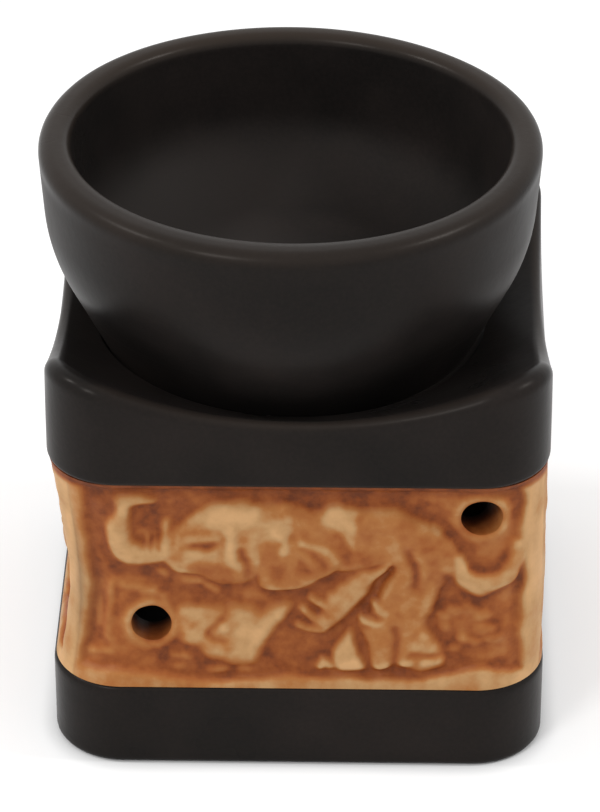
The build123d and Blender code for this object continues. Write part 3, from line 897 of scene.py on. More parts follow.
# %% [markdown]
# ## From the canvas to the band
# A Displace modifier could raise the band from an image, but a lookup needs no image and serves
# the stain as well. A place round the band is looked up on the canvas of its own side. The two
# sides show the front's drawing, drawn in by an eighth and pressed flatter. The canvases meet on
# the corner posts, where all of them are plain border, so no seam shows. The band under the relief
# is waisted, deeply at the left and hardly at the right, because the stand was made by hand.

# %% Looking up the canvas
side_squeeze = 0.88
side_press = 0.6
post_middles = (42.4, 37.6, 37.6, 38.0)


def looked_up(field, across, up):
    """Bilinear: the four samples round a place, weighed by how near they are."""
    column = np.clip((across - canvas_across[0]) / canvas_gap, 0, len(canvas_across) - 1.001)
    row = np.clip((up - canvas_up[0]) / canvas_gap, 0, len(canvas_up) - 1.001)
    left, low = column.astype(int), row.astype(int)
    x, y = column - left, row - low
    lower = field[low, left] * (1 - x) + field[low, left + 1] * x
    upper = field[low + 1, left] * (1 - x) + field[low + 1, left + 1] * x
    return lower * (1 - y) + upper * y


def on_band(around, up):
    """Height of the relief and stain at places round the band, in millimetres.

    Each side owns the places up to the middles of its two posts. The distance from its middle,
    divided by its squeeze, is the place across its canvas."""
    pitch = side_pitch / mm
    around = (around - post_middles[0]) % (4 * pitch) + post_middles[0] - 4 * pitch
    height, stain = np.zeros(around.shape), np.zeros(around.shape)
    side_height = np.minimum(panel_height, field_depth + (panel_height - field_depth) * side_press)
    fields = ((panel_height, panel_stain, 1), (side_height, panel_stain, side_squeeze),
              (back_height, back_stain, 1), (side_height, panel_stain, side_squeeze))
    for side, (height_field, stain_field, squeeze) in enumerate(fields):
        middle = 0 if side == 0 else (side - 4) * pitch
        low = middle - pitch + post_middles[side - 1]
        high = middle + post_middles[side]
        own = (around >= low) & (around < high)
        across = (around[own] - middle) / squeeze
        height[own] = looked_up(height_field, across, up[own])
        stain[own] = looked_up(stain_field, across, up[own])
    return height, stain


waist_heights = (0.0, 0.04, 0.22, 0.36, 0.50, 0.69, 0.87, 1.0)
left_insets = (0.4, 0.75, 2.1, 2.8, 2.7, 2.0, 0.9, 0.3)
right_insets = (0.2, 0.15, 0.1, 0.1, 0.1, 0.2, 0.3, 0.3)
even_insets = (0.5, 0.6, 1.3, 1.8, 2.0, 1.7, 1.2, 1.0)


def band_inset(around, up):
    """How far the band stands in at a place, in metres.

    Three outlines give it, each a line through insets at shares of the height: the deep one at
    the left, the straight one at the right and an even one between. On a ring of half width 1,
    minus x eases in the left one and x the right one."""
    share = (up - band_bottom) / band_height
    x, _ = stand_ring(around, half=1.0, radius=0.35)
    left, right = ease(-x, 0.5, 1.0), ease(x, 0.5, 1.0)
    even_inset = np.interp(share, waist_heights, even_insets)
    left_inset = np.interp(share, waist_heights, left_insets)
    right_inset = np.interp(share, waist_heights, right_insets)
    return (even_inset * (1 - left - right) + left_inset * left + right_inset * right) * mm


print("waist at the left", max(left_insets), "mm, at the right", max(right_insets), "mm")

# %% [markdown]
# ## The band
# The band is one closed ring. Its section runs up the outside with the relief, in over the top
# rebate, down the cavity, and out under the foot. One ring keeps the wall whole, with its own
# thickness, where a sheet with a Solidify modifier would carry the relief through to the inside.

# %% The band's ring
band_around = ring_columns(front=0.36 * mm, sides=0.5 * mm, back=0.8 * mm)
band_levels = np.linspace(band_bottom, band_top, 112)
rebate_half = cavity_half + rebate_size
rebate_radius = cavity_radius + rebate_size
least_inset = 0.03 * mm


def band_points():
    """The outside rows stand in by the inset less the relief, but never past the plinth. Then the
    plain rows of the section follow: rebate, cavity, rebate."""
    around, up = np.meshgrid(band_around, band_levels)
    relief, _ = on_band(around / mm, up / mm)
    inset = np.maximum(band_inset(around, up) - (relief - field_depth) * mm, least_inset)
    x, y = stand_ring(around, half_width - inset, corner_radius - inset)
    rows = [np.stack((x, y, up), axis=-1)]
    section = (
        (rebate_half, rebate_radius, band_top),
        (rebate_half, rebate_radius, band_top - rebate_size),
        (cavity_half, cavity_radius, band_top - rebate_size),
        (cavity_half, cavity_radius, band_bottom + rebate_size),
        (rebate_half, rebate_radius, band_bottom + rebate_size),
        (rebate_half, rebate_radius, band_bottom),
    )
    for half, radius, height in section:
        x, y = stand_ring(band_around, half, radius)
        rows.append(np.stack((x, y, np.full(x.shape, height)), axis=-1)[None])
    return np.concatenate(rows)


band = grid_piece("clay_band", band_points(), closed=True)
print("band", len(band.data.polygons), "faces")

# %% [markdown]
# ## Vents and arch
# The vents were bored through the soft clay with a round tool, the lower one straight and the
# upper one at a slant, and the arch was cut out at the back with a knife. A grid can't open a
# round hole by itself, so real cutters take their space out of the ring with a Boolean modifier.
# The back has no vents.

# %% Cutters
def cut(piece, cutter):
    """Take a cutter's space out of a piece and delete the cutter."""
    modifier = piece.modifiers.new("cut", "BOOLEAN")
    modifier.operation = "DIFFERENCE"
    modifier.solver = "MANIFOLD"
    modifier.object = cutter
    bpy.context.view_layer.objects.active = piece
    bpy.context.view_layer.update()
    bpy.ops.object.modifier_apply(modifier=modifier.name)
    bpy.data.objects.remove(cutter)


def tube_cutter(name, start, end, radius, sides=72):
    """A closed round rod from one point to another: circles about the line between them."""
    start, end = np.array(start, float), np.array(end, float)
    axis = (end - start) / np.linalg.norm(end - start)
    first = np.cross(axis, (0, 0, 1))
    first /= np.linalg.norm(first)
    second = np.cross(axis, first)
    angles = np.linspace(0, 2 * pi, sides, endpoint=False)[:, None]
    circle = radius * (np.cos(angles) * first + np.sin(angles) * second)
    return grid_piece(name, np.stack((start + circle, end + circle)))


def turned_about(point, side):
    """A point of the front panel turned to another side: by a right angle for each side on."""
    angle = side * pi / 2
    x, y, z = point
    return (x * cos(angle) - y * sin(angle), x * sin(angle) + y * cos(angle), z)


def vent_cutter(side, place, slant, sunk=2.8 * mm, reach=11 * mm):
    """The rod of one vent: its middle sunk in the wall at its place, and its ends a reach away on
    both sides, along a line that is turned by the slant."""
    across, up = place[0] * mm, place[1] * mm
    face = half_width - sunk
    step = Vector((sin(radians(slant)) * reach, -cos(radians(slant)) * reach, 0))
    middle = Vector((across, -face, up))
    ends = [turned_about(middle - step, side), turned_about(middle + step, side)]
    return tube_cutter("vent_cutter", ends[0], ends[1], vent_radius * mm)


def arch_cutter(outer=half_width + 4 * mm, inner=20 * mm):
    """The arch as a prism through the back wall, from a ring past the back to one in the cavity:
    a half circle on two upright sides that stand on the floor."""
    angles = np.linspace(0, pi, 97)
    top = np.stack((np.cos(angles) * arch_half, springing + np.sin(angles) * arch_half), axis=-1)
    outline = np.concatenate((top, ((-arch_half, floor_level / mm), (arch_half, floor_level / mm)))) * mm
    rings = [
        np.stack((outline[:, 0], np.full(len(outline), depth), outline[:, 1]), axis=-1)
        for depth in (outer, inner)
    ]
    return grid_piece("arch_cutter", np.stack(rings))


# the front, the right and the left, counted round from the front
vent_sides = (0, 1, 3)
vent_slants = (0, 16)
for side in vent_sides:
    for place, slant in zip(vent_places, vent_slants):
        cut(band, vent_cutter(side, place, slant))
cut(band, arch_cutter())
print("band after cutting", len(band.data.polygons), "faces")

# %% [markdown]
# ## Stain on the band
# The wash is on the outside alone, and the flame has sooted the inside. Both could be worked out
# by nodes, but numbers kept at the vertices go wherever the mesh goes. They are looked up after the
# cutting, for every vertex, new ones too, so they fit the cut mesh.

# %% Stain on the band
def band_stain(piece):
    """Stain by place on the outside, easing to full brown on every surface well under it."""
    places = vertex_places(piece)
    around = stand_place(places[:, 0], places[:, 1])
    _, stain = on_band(around / mm, places[:, 2] / mm)
    x, y = stand_ring(around, half_width, corner_radius)
    depth = np.hypot(x, y) - np.hypot(places[:, 0], places[:, 1])
    inner = ease(depth, 5.0 * mm, 6.5 * mm)
    return np.clip(stain, 0, 1) * (1 - inner) + inner


def soot(piece):
    """1 on the walls of the cavity, 0 on the outside, rising along the bores in between."""
    places = vertex_places(piece)
    reach = np.maximum(np.abs(places[:, 0]), np.abs(places[:, 1]))
    return 1 - ease(reach, 35.2 * mm, 39.5 * mm)


cut_edge = radians(48)
set_attribute(band, "stain", band_stain(band))
set_attribute(band, "soot", soot(band))
band.data.polygons.foreach_set("use_smooth", np.ones(len(band.data.polygons), bool))
band.data.set_sharp_from_angle(angle=cut_edge)
print("stain kept for", len(band.data.vertices), "vertices")

# %% [markdown]
# ## The plinth
# The black plinth is a tray: a flat underside, a rounded foot, walls and a floor that carries the
# tealight. A bevelled box would do for the outside, but not for the lip and the floor. So its
# section runs from the middle of the underside out, up, over the lip that locates the band, and
# down to the middle of the floor. Where the section nears the middle, the rounded square shrinks
# to a point. The arch's cutter opens the wall at the back down to the floor, so that the tealight
# slides in level.

# %% The plinth's skin
def stand_skin(around, section):
    """Rows of rounded squares: each section point is a half width and a height. The corner radius
    shrinks with the half width, but not below the cavity's, or below half of the half width where
    that is less."""
    half = section[:, :1]
    inset = half_width - half
    radius = np.maximum(corner_radius - inset, np.minimum(cavity_radius, 0.5 * half))
    x, y = stand_ring(around[None, :], half, radius)
    return np.stack((x, y, np.broadcast_to(section[:, 1:], x.shape)), axis=-1)


base_top = band_bottom
lip_half = cavity_half + lip_size
lip_top = base_box[1].z
base_section = rounded_section(
    (
        (0.5 * mm, 0, 0),
        (half_width, 0, 1.2 * mm),
        (half_width, base_top, 1.1 * mm),
        (lip_half, base_top, 0.2 * mm),
        (lip_half, lip_top, 0.4 * mm),
        (cavity_half, lip_top, 0.4 * mm),
        (cavity_half, floor_level, 1.5 * mm),
        (0.5 * mm, floor_level, 0),
    ),
    spacing=0.9 * mm,
)
base_around = ring_columns(front=1.0 * mm, sides=1.0 * mm, back=1.0 * mm)
plinth = grid_piece("black_plinth", stand_skin(base_around, base_section))
cut(plinth, arch_cutter())
set_attribute(plinth, "soot", soot(plinth) * ease(vertex_places(plinth)[:, 2], 3 * mm, 5 * mm))
plinth.data.set_sharp_from_angle(angle=cut_edge)
print("plinth", len(plinth.data.polygons), "faces")

# %% [markdown]
# ## The collar
# The collar is the finest casting. Its top is scooped like a dish, so its walls are low in the
# middle of each side and rise to a horn at each corner. A box cut by a ball has this form, but
# its edges would be sharp and even. So the ring is worked out: up the wall, over a soft rim that
# leans in with the dish, down the deck to the round seat of the bowl, through the hole, and back
# under the deck and down the cavity to the lip.

# %% The collar's skin
dish_radius = 87.3 * mm
deck_thickness = 5 * mm
bowl_centre = (bowl_box[0].x + bowl_box[1].x) / 2
seat_radius = 34.3 * mm
hole_radius = 30 * mm
spigot_depth = 3 * mm
bowl_foot_radius = 32.8 * mm
seat_sink = 0.9 * mm
seat_height = bowl_box[0].z + spigot_depth
dish_centre = seat_height + seat_sink + sqrt(dish_radius**2 - bowl_foot_radius**2)
collar_around = ring_columns(front=0.5 * mm, sides=0.6 * mm, back=0.7 * mm)


def dish_height(x, y, grown=0.0):
    """The height of the dish at a point: the centre less the root of the sphere's radius squared
    less x and y squared. The deck's underside is the same sphere, grown by the deck."""
    return dish_centre - np.sqrt((dish_radius + grown) ** 2 - x**2 - y**2)


def collar_lean(most=0.9 * mm, horn_reach=40 * mm):
    """How far the rim leans in: most in the middle of each side and nothing at the horns, by a
    squared cosine, as a wet wall sags between its corners."""
    side = np.round(collar_around / side_pitch)
    share = np.clip(np.abs(collar_around - side * side_pitch) / horn_reach, 0, 1)
    return most * np.cos(share * pi / 2) ** 2


def collar_outside(foot, rim, horn_rim):
    """Rows up the wall and over the rim.

    The wall leans in by the square of its height. The rim arc turns by a right angle and the
    dish's own slope, and its centre lies so that the arc ends on the dish. Its radius grows from
    the middle of a side to the horns, which are rounded like knuckles."""
    wall_x, wall_y = stand_ring(collar_around, half_width, corner_radius)
    inner_x, inner_y = stand_ring(collar_around, half_width - mm, corner_radius - mm)
    normal_x, normal_y = (wall_x - inner_x) / mm, (wall_y - inner_y) / mm
    lean = collar_lean()
    rim = horn_rim + (rim - horn_rim) * lean / lean.max()
    x, y = wall_x - normal_x * lean, wall_y - normal_y * lean
    slope = np.arctan2(x * normal_x + y * normal_y, np.sqrt(dish_radius**2 - x**2 - y**2))
    drop = rim + rim * np.sin(slope)
    centre = dish_height(x - normal_x * drop, y - normal_y * drop) - rim * np.cos(slope)
    rows = []
    for angle in np.linspace(0, pi / 2, 7):
        inset = foot * (1 - sin(angle))
        height = np.full(x.shape, band_top + foot * (1 - cos(angle)))
        rows.append(np.stack((wall_x - normal_x * inset, wall_y - normal_y * inset, height), axis=-1))
    for share in np.linspace(0, 1, 22)[1:-1]:
        height = band_top + foot + (centre - band_top - foot) * share
        inset = lean * share**2
        rows.append(np.stack((wall_x - normal_x * inset, wall_y - normal_y * inset, height), axis=-1))
    for share in np.linspace(0, 1, 12):
        angle = share * (pi / 2 + slope)
        inset = rim * (1 - np.cos(angle))
        height = centre + rim * np.sin(angle)
        rows.append(np.stack((x - normal_x * inset, y - normal_y * inset, height), axis=-1))
    return np.stack(rows)


def collar_points(foot=1.1 * mm, rim=1.3 * mm, horn_rim=2.4 * mm):
    """The outside, then the deck from the rim to the seat on the dish, the seat, the hole, the
    underside of the deck, the cavity wall and the lip, which close the section."""
    outside = collar_outside(foot, rim, horn_rim)
    edge = outside[-1]
    bearing = np.arctan2(edge[:, 1], edge[:, 0] - bowl_centre)
    seat_x = bowl_centre + seat_radius * np.cos(bearing)
    seat_y = seat_radius * np.sin(bearing)
    hole_x = bowl_centre + hole_radius * np.cos(bearing)
    hole_y = hole_radius * np.sin(bearing)
    cavity_x, cavity_y = stand_ring(collar_around, cavity_half, cavity_radius)
    lip_x, lip_y = stand_ring(collar_around, lip_half, cavity_radius + lip_size)
    rows = [outside]
    for share in np.linspace(0, 1, 22)[1:]:
        x = edge[:, 0] + (seat_x - edge[:, 0]) * share
        y = edge[:, 1] + (seat_y - edge[:, 1]) * share
        rows.append(np.stack((x, y, dish_height(x, y)), axis=-1)[None])
    seat_level = np.full(seat_x.shape, seat_height)
    underside = dish_height(hole_x, hole_y, deck_thickness)
    ceiling = dish_height(cavity_x, cavity_y, deck_thickness)
    below = np.full(seat_x.shape, band_top - lip_size)
    section = (
        (seat_x, seat_y, seat_level),
        (hole_x, hole_y, seat_level),
        (hole_x, hole_y, np.minimum(underside, seat_height - 1 * mm)),
        (cavity_x, cavity_y, np.maximum(ceiling, band_top)),
        (cavity_x, cavity_y, below),
        (lip_x, lip_y, below),
        (lip_x, lip_y, np.full(seat_x.shape, band_top)),
    )
    rows += [np.stack(row, axis=-1)[None] for row in section]
    return np.concatenate(rows)


collar = grid_piece("black_collar", collar_points(), closed=True)


def thin_rim(piece):
    """A half along the rim of the collar, where the glaze ran thin. It falls to 0 two and a half
    millimetres from the dish's surface and three inside the wall."""
    places = vertex_places(piece)
    reach = np.maximum(np.abs(places[:, 0]), np.abs(places[:, 1]))
    from_dish = np.abs(dish_height(places[:, 0], places[:, 1]) - places[:, 2])
    at_wall = ease(reach, half_width - 3 * mm, half_width - 1.5 * mm)
    return 0.5 * (1 - ease(from_dish, 0.5 * mm, 2.5 * mm)) * at_wall


set_attribute(collar, "thin", thin_rim(collar))
print("collar", len(collar.data.polygons), "faces")

# %% [markdown]
# ## The bowl
# The bowl is turned: one section from the middle of its hollow foot, out over the standing ring,
# up the round belly to the heavy lip, over it, and down the well to the middle of its floor. A
# Screw modifier would spin it quite true, but no hand made bowl is. Here its rim falls a little
# to the back, swells at two places and is pressed in at the front.

# %% The bowl's skin
bowl_top = bowl_box[1].z
rim_radius = 43.35 * mm
mouth_radius = 37.9 * mm
well_floor = seat_height + 10.35 * mm


def turned_points(section, centre_x, count):
    """Circles through a section of radii and heights about an upright line."""
    angles = np.linspace(0, 2 * pi, count, endpoint=False)[None, :]
    radius = section[:, :1]
    height = np.broadcast_to(section[:, 1:], (len(section), count))
    return np.stack((centre_x + radius * np.cos(angles), radius * np.sin(angles), height), axis=-1)


press_radius = 39.7 * mm
low_side = radians(45)
swell_spread = 0.1
# angle, outward
side_swells = ((radians(20), 0.5 * mm), (radians(140), 0.4 * mm))


def bowl_points(section, count, back_drop, front_press, wander):
    """The turned bowl, made a little untrue.

    Its rim falls towards the back and right by half a cosine, it swells at each side by a bell
    of the angle, the thumb pressed the inside of the lip in at the front, and the radius
    breathes in two and three waves, always inwards. All four fade out down the wall, so that
    the foot stays round and level."""
    points = turned_points(section, bowl_centre, count)
    angles = np.linspace(0, 2 * pi, count, endpoint=False)[None, :]
    radius, height = section[:, :1], section[:, 1:]
    share = ease(height, seat_height + 8 * mm, bowl_top)
    past_top = (np.arange(len(section)) > np.argmax(section[:, 1]))[:, None]
    inside = past_top & (radius < press_radius)
    front = np.maximum(-np.sin(angles + 0.15), 0) ** 2
    inward = front_press * front * inside * share
    breath = 0.5 + 0.3 * np.cos(2 * angles + 0.6) + 0.2 * np.cos(3 * angles - 1.1)
    inward = inward + wander * share * breath
    points[..., 0] -= inward * np.cos(angles)
    points[..., 1] -= inward * np.sin(angles)
    points[..., 2] -= back_drop * share * (0.5 + 0.5 * np.cos(angles - low_side))
    bells = (swell * np.exp((np.cos(angles - middle) - 1) / swell_spread) for middle, swell in side_swells)
    outward = share * sum(bells)
    points[..., 0] += outward * np.cos(angles)
    points[..., 1] += outward * np.sin(angles)
    return points


bowl_section = rounded_section(
    (
        (0.4 * mm, seat_height + 5.35 * mm, 0),
        (26.2 * mm, seat_height + 5.35 * mm, 3 * mm),
        (26.2 * mm, seat_height - spigot_depth, 0.5 * mm),
        (29.6 * mm, seat_height - spigot_depth, 0.5 * mm),
        (29.6 * mm, seat_height, 0.2 * mm),
        (bowl_foot_radius, seat_height, 0.6 * mm),
        (42.06 * mm, seat_height + 19 * mm, 30 * mm),
        (rim_radius, bowl_top, 2.4 * mm),
        (mouth_radius, bowl_top, 2.0 * mm),
        (35.2 * mm, well_floor, 14 * mm),
        (0.4 * mm, well_floor, 0),
    ),
    spacing=0.6 * mm,
)
bowl = grid_piece(
    "oil_bowl_glazed",
    bowl_points(bowl_section, 288, back_drop=0.95 * mm, front_press=0.9 * mm, wander=0.05 * mm),
)
print("bowl", len(bowl.data.polygons), "faces")

# %% [markdown]
# ## Wear and painted light on the bowl
# Glaze runs thin over a lip, cloths and oil dull the floor of a well, and hands dull the outside. The lip's
# browner colour also paints a sheen, and the floor of the well is painted paler, most at the front left, as
# a pool of light. Noise would put such marks anywhere. Here each is a number worked out for every vertex
# from its height, its distance from the middle and its angle, and the glaze reads them.

# %% Thin glaze, painted sheen, wear and painted light
well_reach = 37.4 * mm
handled_share = 0.3
painted_light_side = radians(215)


def round_bowl(piece):
    """The height of each vertex, its distance from the bowl's middle line, and its angle round it,
    0 at the right and a quarter turn at the back."""
    places = vertex_places(piece)
    across, along = places[:, 0] - bowl_centre, places[:, 1]
    return places[:, 2], np.hypot(across, along), np.arctan2(along, across)


def thin_lip_and_painted_sheen(piece):
    """Along the top of the lip 1 at the back and 0.4 at the front, by the sine of the angle, and 0 down its
    two sides. It is glaze that ran thin, and a painted sheen that is strongest at the back."""
    height, _, angle = round_bowl(piece)
    behind = 0.7 + 0.3 * np.sin(angle)
    return behind * ease(height, bowl_top - 2.8 * mm, bowl_top - 0.9 * mm)


def worn_well(piece):
    """1 on the floor of the well, easing to 0 up its wall."""
    height, from_middle, _ = round_bowl(piece)
    inside = (height > well_floor - 0.5 * mm) & (from_middle < well_reach)
    low = 1 - ease(height, well_floor + 1 * mm, well_floor + 16 * mm)
    return inside * low


def handled_belly(piece):
    """The handled share on the outside of the wall, easing to 0 on the lip."""
    height, from_middle, _ = round_bowl(piece)
    outside = ease(from_middle, well_reach, 38 * mm) + (height < well_floor - 0.5 * mm)
    below_lip = 1 - ease(height, bowl_top - 5 * mm, bowl_top - 2.4 * mm)
    return handled_share * np.minimum(outside, 1) * below_lip


def painted_well_light(piece):
    """Painted light on the well's floor, most at the front left: by the cosine of the angle from there."""
    _, from_middle, angle = round_bowl(piece)
    side = np.cos(angle - painted_light_side) * ease(from_middle, 0, 15 * mm)
    return worn_well(piece) * (0.5 + 0.5 * side)


# the lip's browner colour is thin glaze and a painted sheen
set_attribute(bowl, "thin", thin_lip_and_painted_sheen(bowl))
set_attribute(bowl, "worn", np.maximum(worn_well(bowl), handled_belly(bowl)))
# painted light: the well's floor is made paler, most at the front left
set_attribute(bowl, "well_light_paint", painted_well_light(bowl))
print("worn vertices", int((worn_well(bowl) > 0).sum()))

# %% [markdown]
# ## The tealight
# A tealight cup is pressed from thin foil, so its wall is pleated and its rim is rolled. The
# pleats could be bump in the material, but then they would be missing from the mesh, so the
# radius itself ripples.

# %% Cup
cup_radius = (cup_box[1].x - cup_box[0].x) / 2
cup_centre = (cup_box[0].y + cup_box[1].y) / 2
cup_floor = cup_box[0].z
cup_top = cup_box[1].z
foil = 0.5 * mm


def pleated_points(section, count, pleats, depth):
    """Circles through a section, whose radius ripples on the wall: most at mid height, and not at
    all on the floor and at the rim."""
    angles = np.linspace(0, 2 * pi, count, endpoint=False)[None, :]
    share = np.clip((section[:, 1:] - cup_floor) / (cup_top - cup_floor), 0, 1)
    off_floor = ease(section[:, :1], 0.8 * cup_radius, 0.93 * cup_radius)
    wall = off_floor * ease(1 - share, 0.08, 0.25) * ease(share, 0.02, 0.2)
    radius = section[:, :1] - depth * wall * (0.5 - 0.5 * np.cos(pleats * angles))
    height = np.broadcast_to(section[:, 1:], radius.shape)
    return np.stack((radius * np.cos(angles), cup_centre + radius * np.sin(angles), height), axis=-1)


cup_section = rounded_section(
    (
        (0.3 * mm, cup_floor, 0),
        (17.9 * mm, cup_floor, 1.2 * mm),
        (18.4 * mm, cup_top - 1.0 * mm, 0.3 * mm),
        (cup_radius, cup_top - 0.8 * mm, 0.35 * mm),
        (cup_radius, cup_top, 0.38 * mm),
        (18.1 * mm, cup_top, 0.3 * mm),
        (17.4 * mm, cup_floor + foil, 1.0 * mm),
        (0.3 * mm, cup_floor + foil, 0),
    ),
    spacing=0.5 * mm,
)
cup = grid_piece("foil_cup", pleated_points(cup_section, count=360, pleats=60, depth=0.22 * mm))
print("cup", len(cup.data.polygons), "faces")

# %% [markdown]
# ## Wax, wick and tab
# The wax has set with a low rim where it clings to the metal and a dip round the wick, so it is a
# turned section. The wick is a braid of three strands. Three real strands would be finer than
# anyone sees, so one rod swells where they lie. The tab is a tinned disc with a short tube, which
# the wick stands in.

# %% Wax
wax_bottom = wax_box[0].z + 0.1 * mm
wax_top = wax_box[1].z
wax_section = rounded_section(
    (
        (0.2 * mm, wax_bottom, 0),
        (17.2 * mm, wax_bottom, 0.8 * mm),
        (17.6 * mm, wax_top, 0.3 * mm),
        (17.2 * mm, wax_top, 0.6 * mm),
        (16.2 * mm, wax_top - 0.7 * mm, 2 * mm),
        (5 * mm, wax_top - 0.8 * mm, 6 * mm),
        (1.6 * mm, wax_top - 0.5 * mm, 1 * mm),
        (0.95 * mm, wax_top - 0.1 * mm, 0.2 * mm),
        (0.2 * mm, wax_top - 0.1 * mm, 0),
    ),
    spacing=0.35 * mm,
)
wax = grid_piece("candle_wax", turned_points(wax_section, centre_x=0.0, count=160))
print("wax", len(wax.data.polygons), "faces")

# %% Wick
wick_radius = (wick_box[1].x - wick_box[0].x) / 2
wick_bottom = wick_box[0].z
wick_top = wick_box[1].z


def braid_points(strands=3, turns=7, rows=120, columns=48):
    """A rod whose radius swells in strands that wind round it, and tapers at both ends.

    The radius is the rod's times the sum of 0.74 and 0.24 of a wave. The wave is the size of the
    cosine of an angle: half the strands times the angle round the rod less the turn at that
    height."""
    share = np.linspace(0, 1, rows)[:, None]
    angles = np.linspace(0, 2 * pi, columns, endpoint=False)[None, :]
    wave = np.abs(np.cos(strands / 2 * (angles - 2 * pi * turns * share)))
    taper = np.sqrt(np.clip((1 - share) * 14, 0, 1)) * np.sqrt(np.clip(share * 60 + 0.05, 0, 1))
    radius = wick_radius * (0.74 + 0.24 * wave) * np.maximum(taper, 0.04)
    length = wick_top - wick_bottom - 0.1 * mm
    height = wick_bottom + length * np.broadcast_to(share, radius.shape)
    return np.stack((radius * np.cos(angles), radius * np.sin(angles), height), axis=-1)


wick = grid_piece("braided_wick", braid_points())
print("wick", len(wick.data.polygons), "faces")

# %% Tab
tab_radius = (tab_box[1].x - tab_box[0].x) / 2
tab_bore = 0.9 * mm
tab_bottom = tab_box[0].z + 0.02 * mm
disc_top = tab_box[0].z + 0.4 * mm
tab_top = tab_box[1].z
tab_section = rounded_section(
    (
        (tab_bore, tab_bottom, 0),
        (tab_radius, tab_bottom, 0.12 * mm),
        (tab_radius, disc_top, 0.12 * mm),
        (2.2 * mm, disc_top, 0.5 * mm),
        (1.6 * mm, tab_top, 0.15 * mm),
        (tab_bore, tab_top, 0),
    ),
    spacing=0.3 * mm,
)
tab = grid_piece("tinned_wick_tab", turned_points(tab_section, centre_x=0.0, count=96), closed=True)
print("tab", len(tab.data.polygons), "faces")

# %% [markdown]
# ## Finishes
# Colours are written as they look in a picture, from 0 to 255, and turned into the linear light
# that the renderer counts with. Each finish is one function. Its small variations come from noise
# on the Object coordinates, so they stay on the clay when the piece moves.

# %% Helpers for finishes
def picture_colour(red, green, blue):
    """Linear colour from picture values: the inverse of the sRGB curve."""
    values = np.array((red, green, blue)) / 255
    linear = np.where(values <= 0.04045, values / 12.92, ((values + 0.055) / 1.055) ** 2.4)
    return (*linear.tolist(), 1.0)


def new_finish(name, roughness, specular):
    """A material with its node tree, its shader and the object's coordinates."""
    material = bpy.data.materials.new(name)
    material.use_nodes = True
    tree = material.node_tree
    shader = tree.nodes["Principled BSDF"]
    shader.inputs["Roughness"].default_value = roughness
    shader.inputs["Specular IOR Level"].default_value = specular
    place = tree.nodes.new("ShaderNodeTexCoord").outputs["Object"]
    return material, tree, shader, place


def add_noise(tree, place, scale, detail=3.0, roughness=0.5):
    """Noise of a scale in waves a metre."""
    noise = tree.nodes.new("ShaderNodeTexNoise")
    noise.inputs["Scale"].default_value = scale
    noise.inputs["Detail"].default_value = detail
    noise.inputs["Roughness"].default_value = roughness
    tree.links.new(place, noise.inputs["Vector"])
    return noise.outputs["Fac"]


def add_range(tree, value, low, high, new_low, new_high):
    """A value moved from one range to another and held there."""
    stretch = tree.nodes.new("ShaderNodeMapRange")
    ends = {"From Min": low, "From Max": high, "To Min": new_low, "To Max": new_high}
    for socket, number in ends.items():
        stretch.inputs[socket].default_value = number
    tree.links.new(value, stretch.inputs["Value"])
    return stretch.outputs["Result"]


def add_math(tree, operation, first, second):
    """Two values added, multiplied or compared. A plain number sets its socket."""
    node = tree.nodes.new("ShaderNodeMath")
    node.operation = operation
    for socket, value in zip(node.inputs, (first, second)):
        if isinstance(value, (int, float)):
            socket.default_value = value
        else:
            tree.links.new(value, socket)
    return node.outputs["Value"]


def add_mix(tree, share, first, second):
    """A colour between two colours, each a constant or another node's colour."""
    node = tree.nodes.new("ShaderNodeMix")
    node.data_type = "RGBA"
    tree.links.new(share, node.inputs["Factor"])
    for socket, value in ((node.inputs[6], first), (node.inputs[7], second)):
        if isinstance(value, tuple):
            socket.default_value = value
        else:
            tree.links.new(value, socket)
    return node.outputs[2]


def add_ramp(tree, value, stops):
    """A colour ramp with stops (place, colour)."""
    ramp = tree.nodes.new("ShaderNodeValToRGB")
    elements = ramp.color_ramp.elements
    for _ in stops[2:]:
        elements.new(0.5)
    for element, (place, colour) in zip(elements, stops):
        element.position = place
        element.color = colour
    tree.links.new(value, ramp.inputs["Fac"])
    return ramp.outputs["Color"]


def add_attribute(tree, name):
    """A number that the mesh keeps for each vertex."""
    node = tree.nodes.new("ShaderNodeAttribute")
    node.attribute_name = name
    return node.outputs["Fac"]


def add_bump(tree, shader, value, strength, distance):
    """Small relief from a value, as deep as the distance."""
    bump = tree.nodes.new("ShaderNodeBump")
    bump.inputs["Strength"].default_value = strength
    bump.inputs["Distance"].default_value = distance
    tree.links.new(value, bump.inputs["Height"])
    tree.links.new(bump.outputs["Normal"], shader.inputs["Normal"])


def finish_with(piece, material, slot, body, *nodes):
    """Give a piece its material and its body, and let it stand for the CAD nodes. The slot is not used."""
    piece.data.materials.clear()
    piece.data.materials.append(material)
    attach(piece, body)
    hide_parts(*nodes)


# %% [markdown]
# ## Black glaze
# The black is a satin glaze over dark clay. It isn't one flat black: it is a little browner in patches and
# where it ran thin over the rims, and on the bowl's lip that browner colour also paints a sheen. The floor
# of the well is painted paler as a pool of light, it is duller where the well is worn, less glossy where the
# bowl is handled, and its skin has the faint pebbling that a sprayed glaze dries with.
# One plain colour with one gloss would look like plastic, so noise and the numbers kept in the
# mesh share the work. A piece that doesn't keep one of them reads it as 0.

# %% Black glaze
deep_black = picture_colour(27, 25, 24)
brown_black = picture_colour(40, 35, 33)
painted_light_black = picture_colour(56, 52, 50)
thin_glaze_and_sheen_brown = picture_colour(51, 44, 39)
soot_black = picture_colour(16, 14, 13)
worn_roughness = 0.34


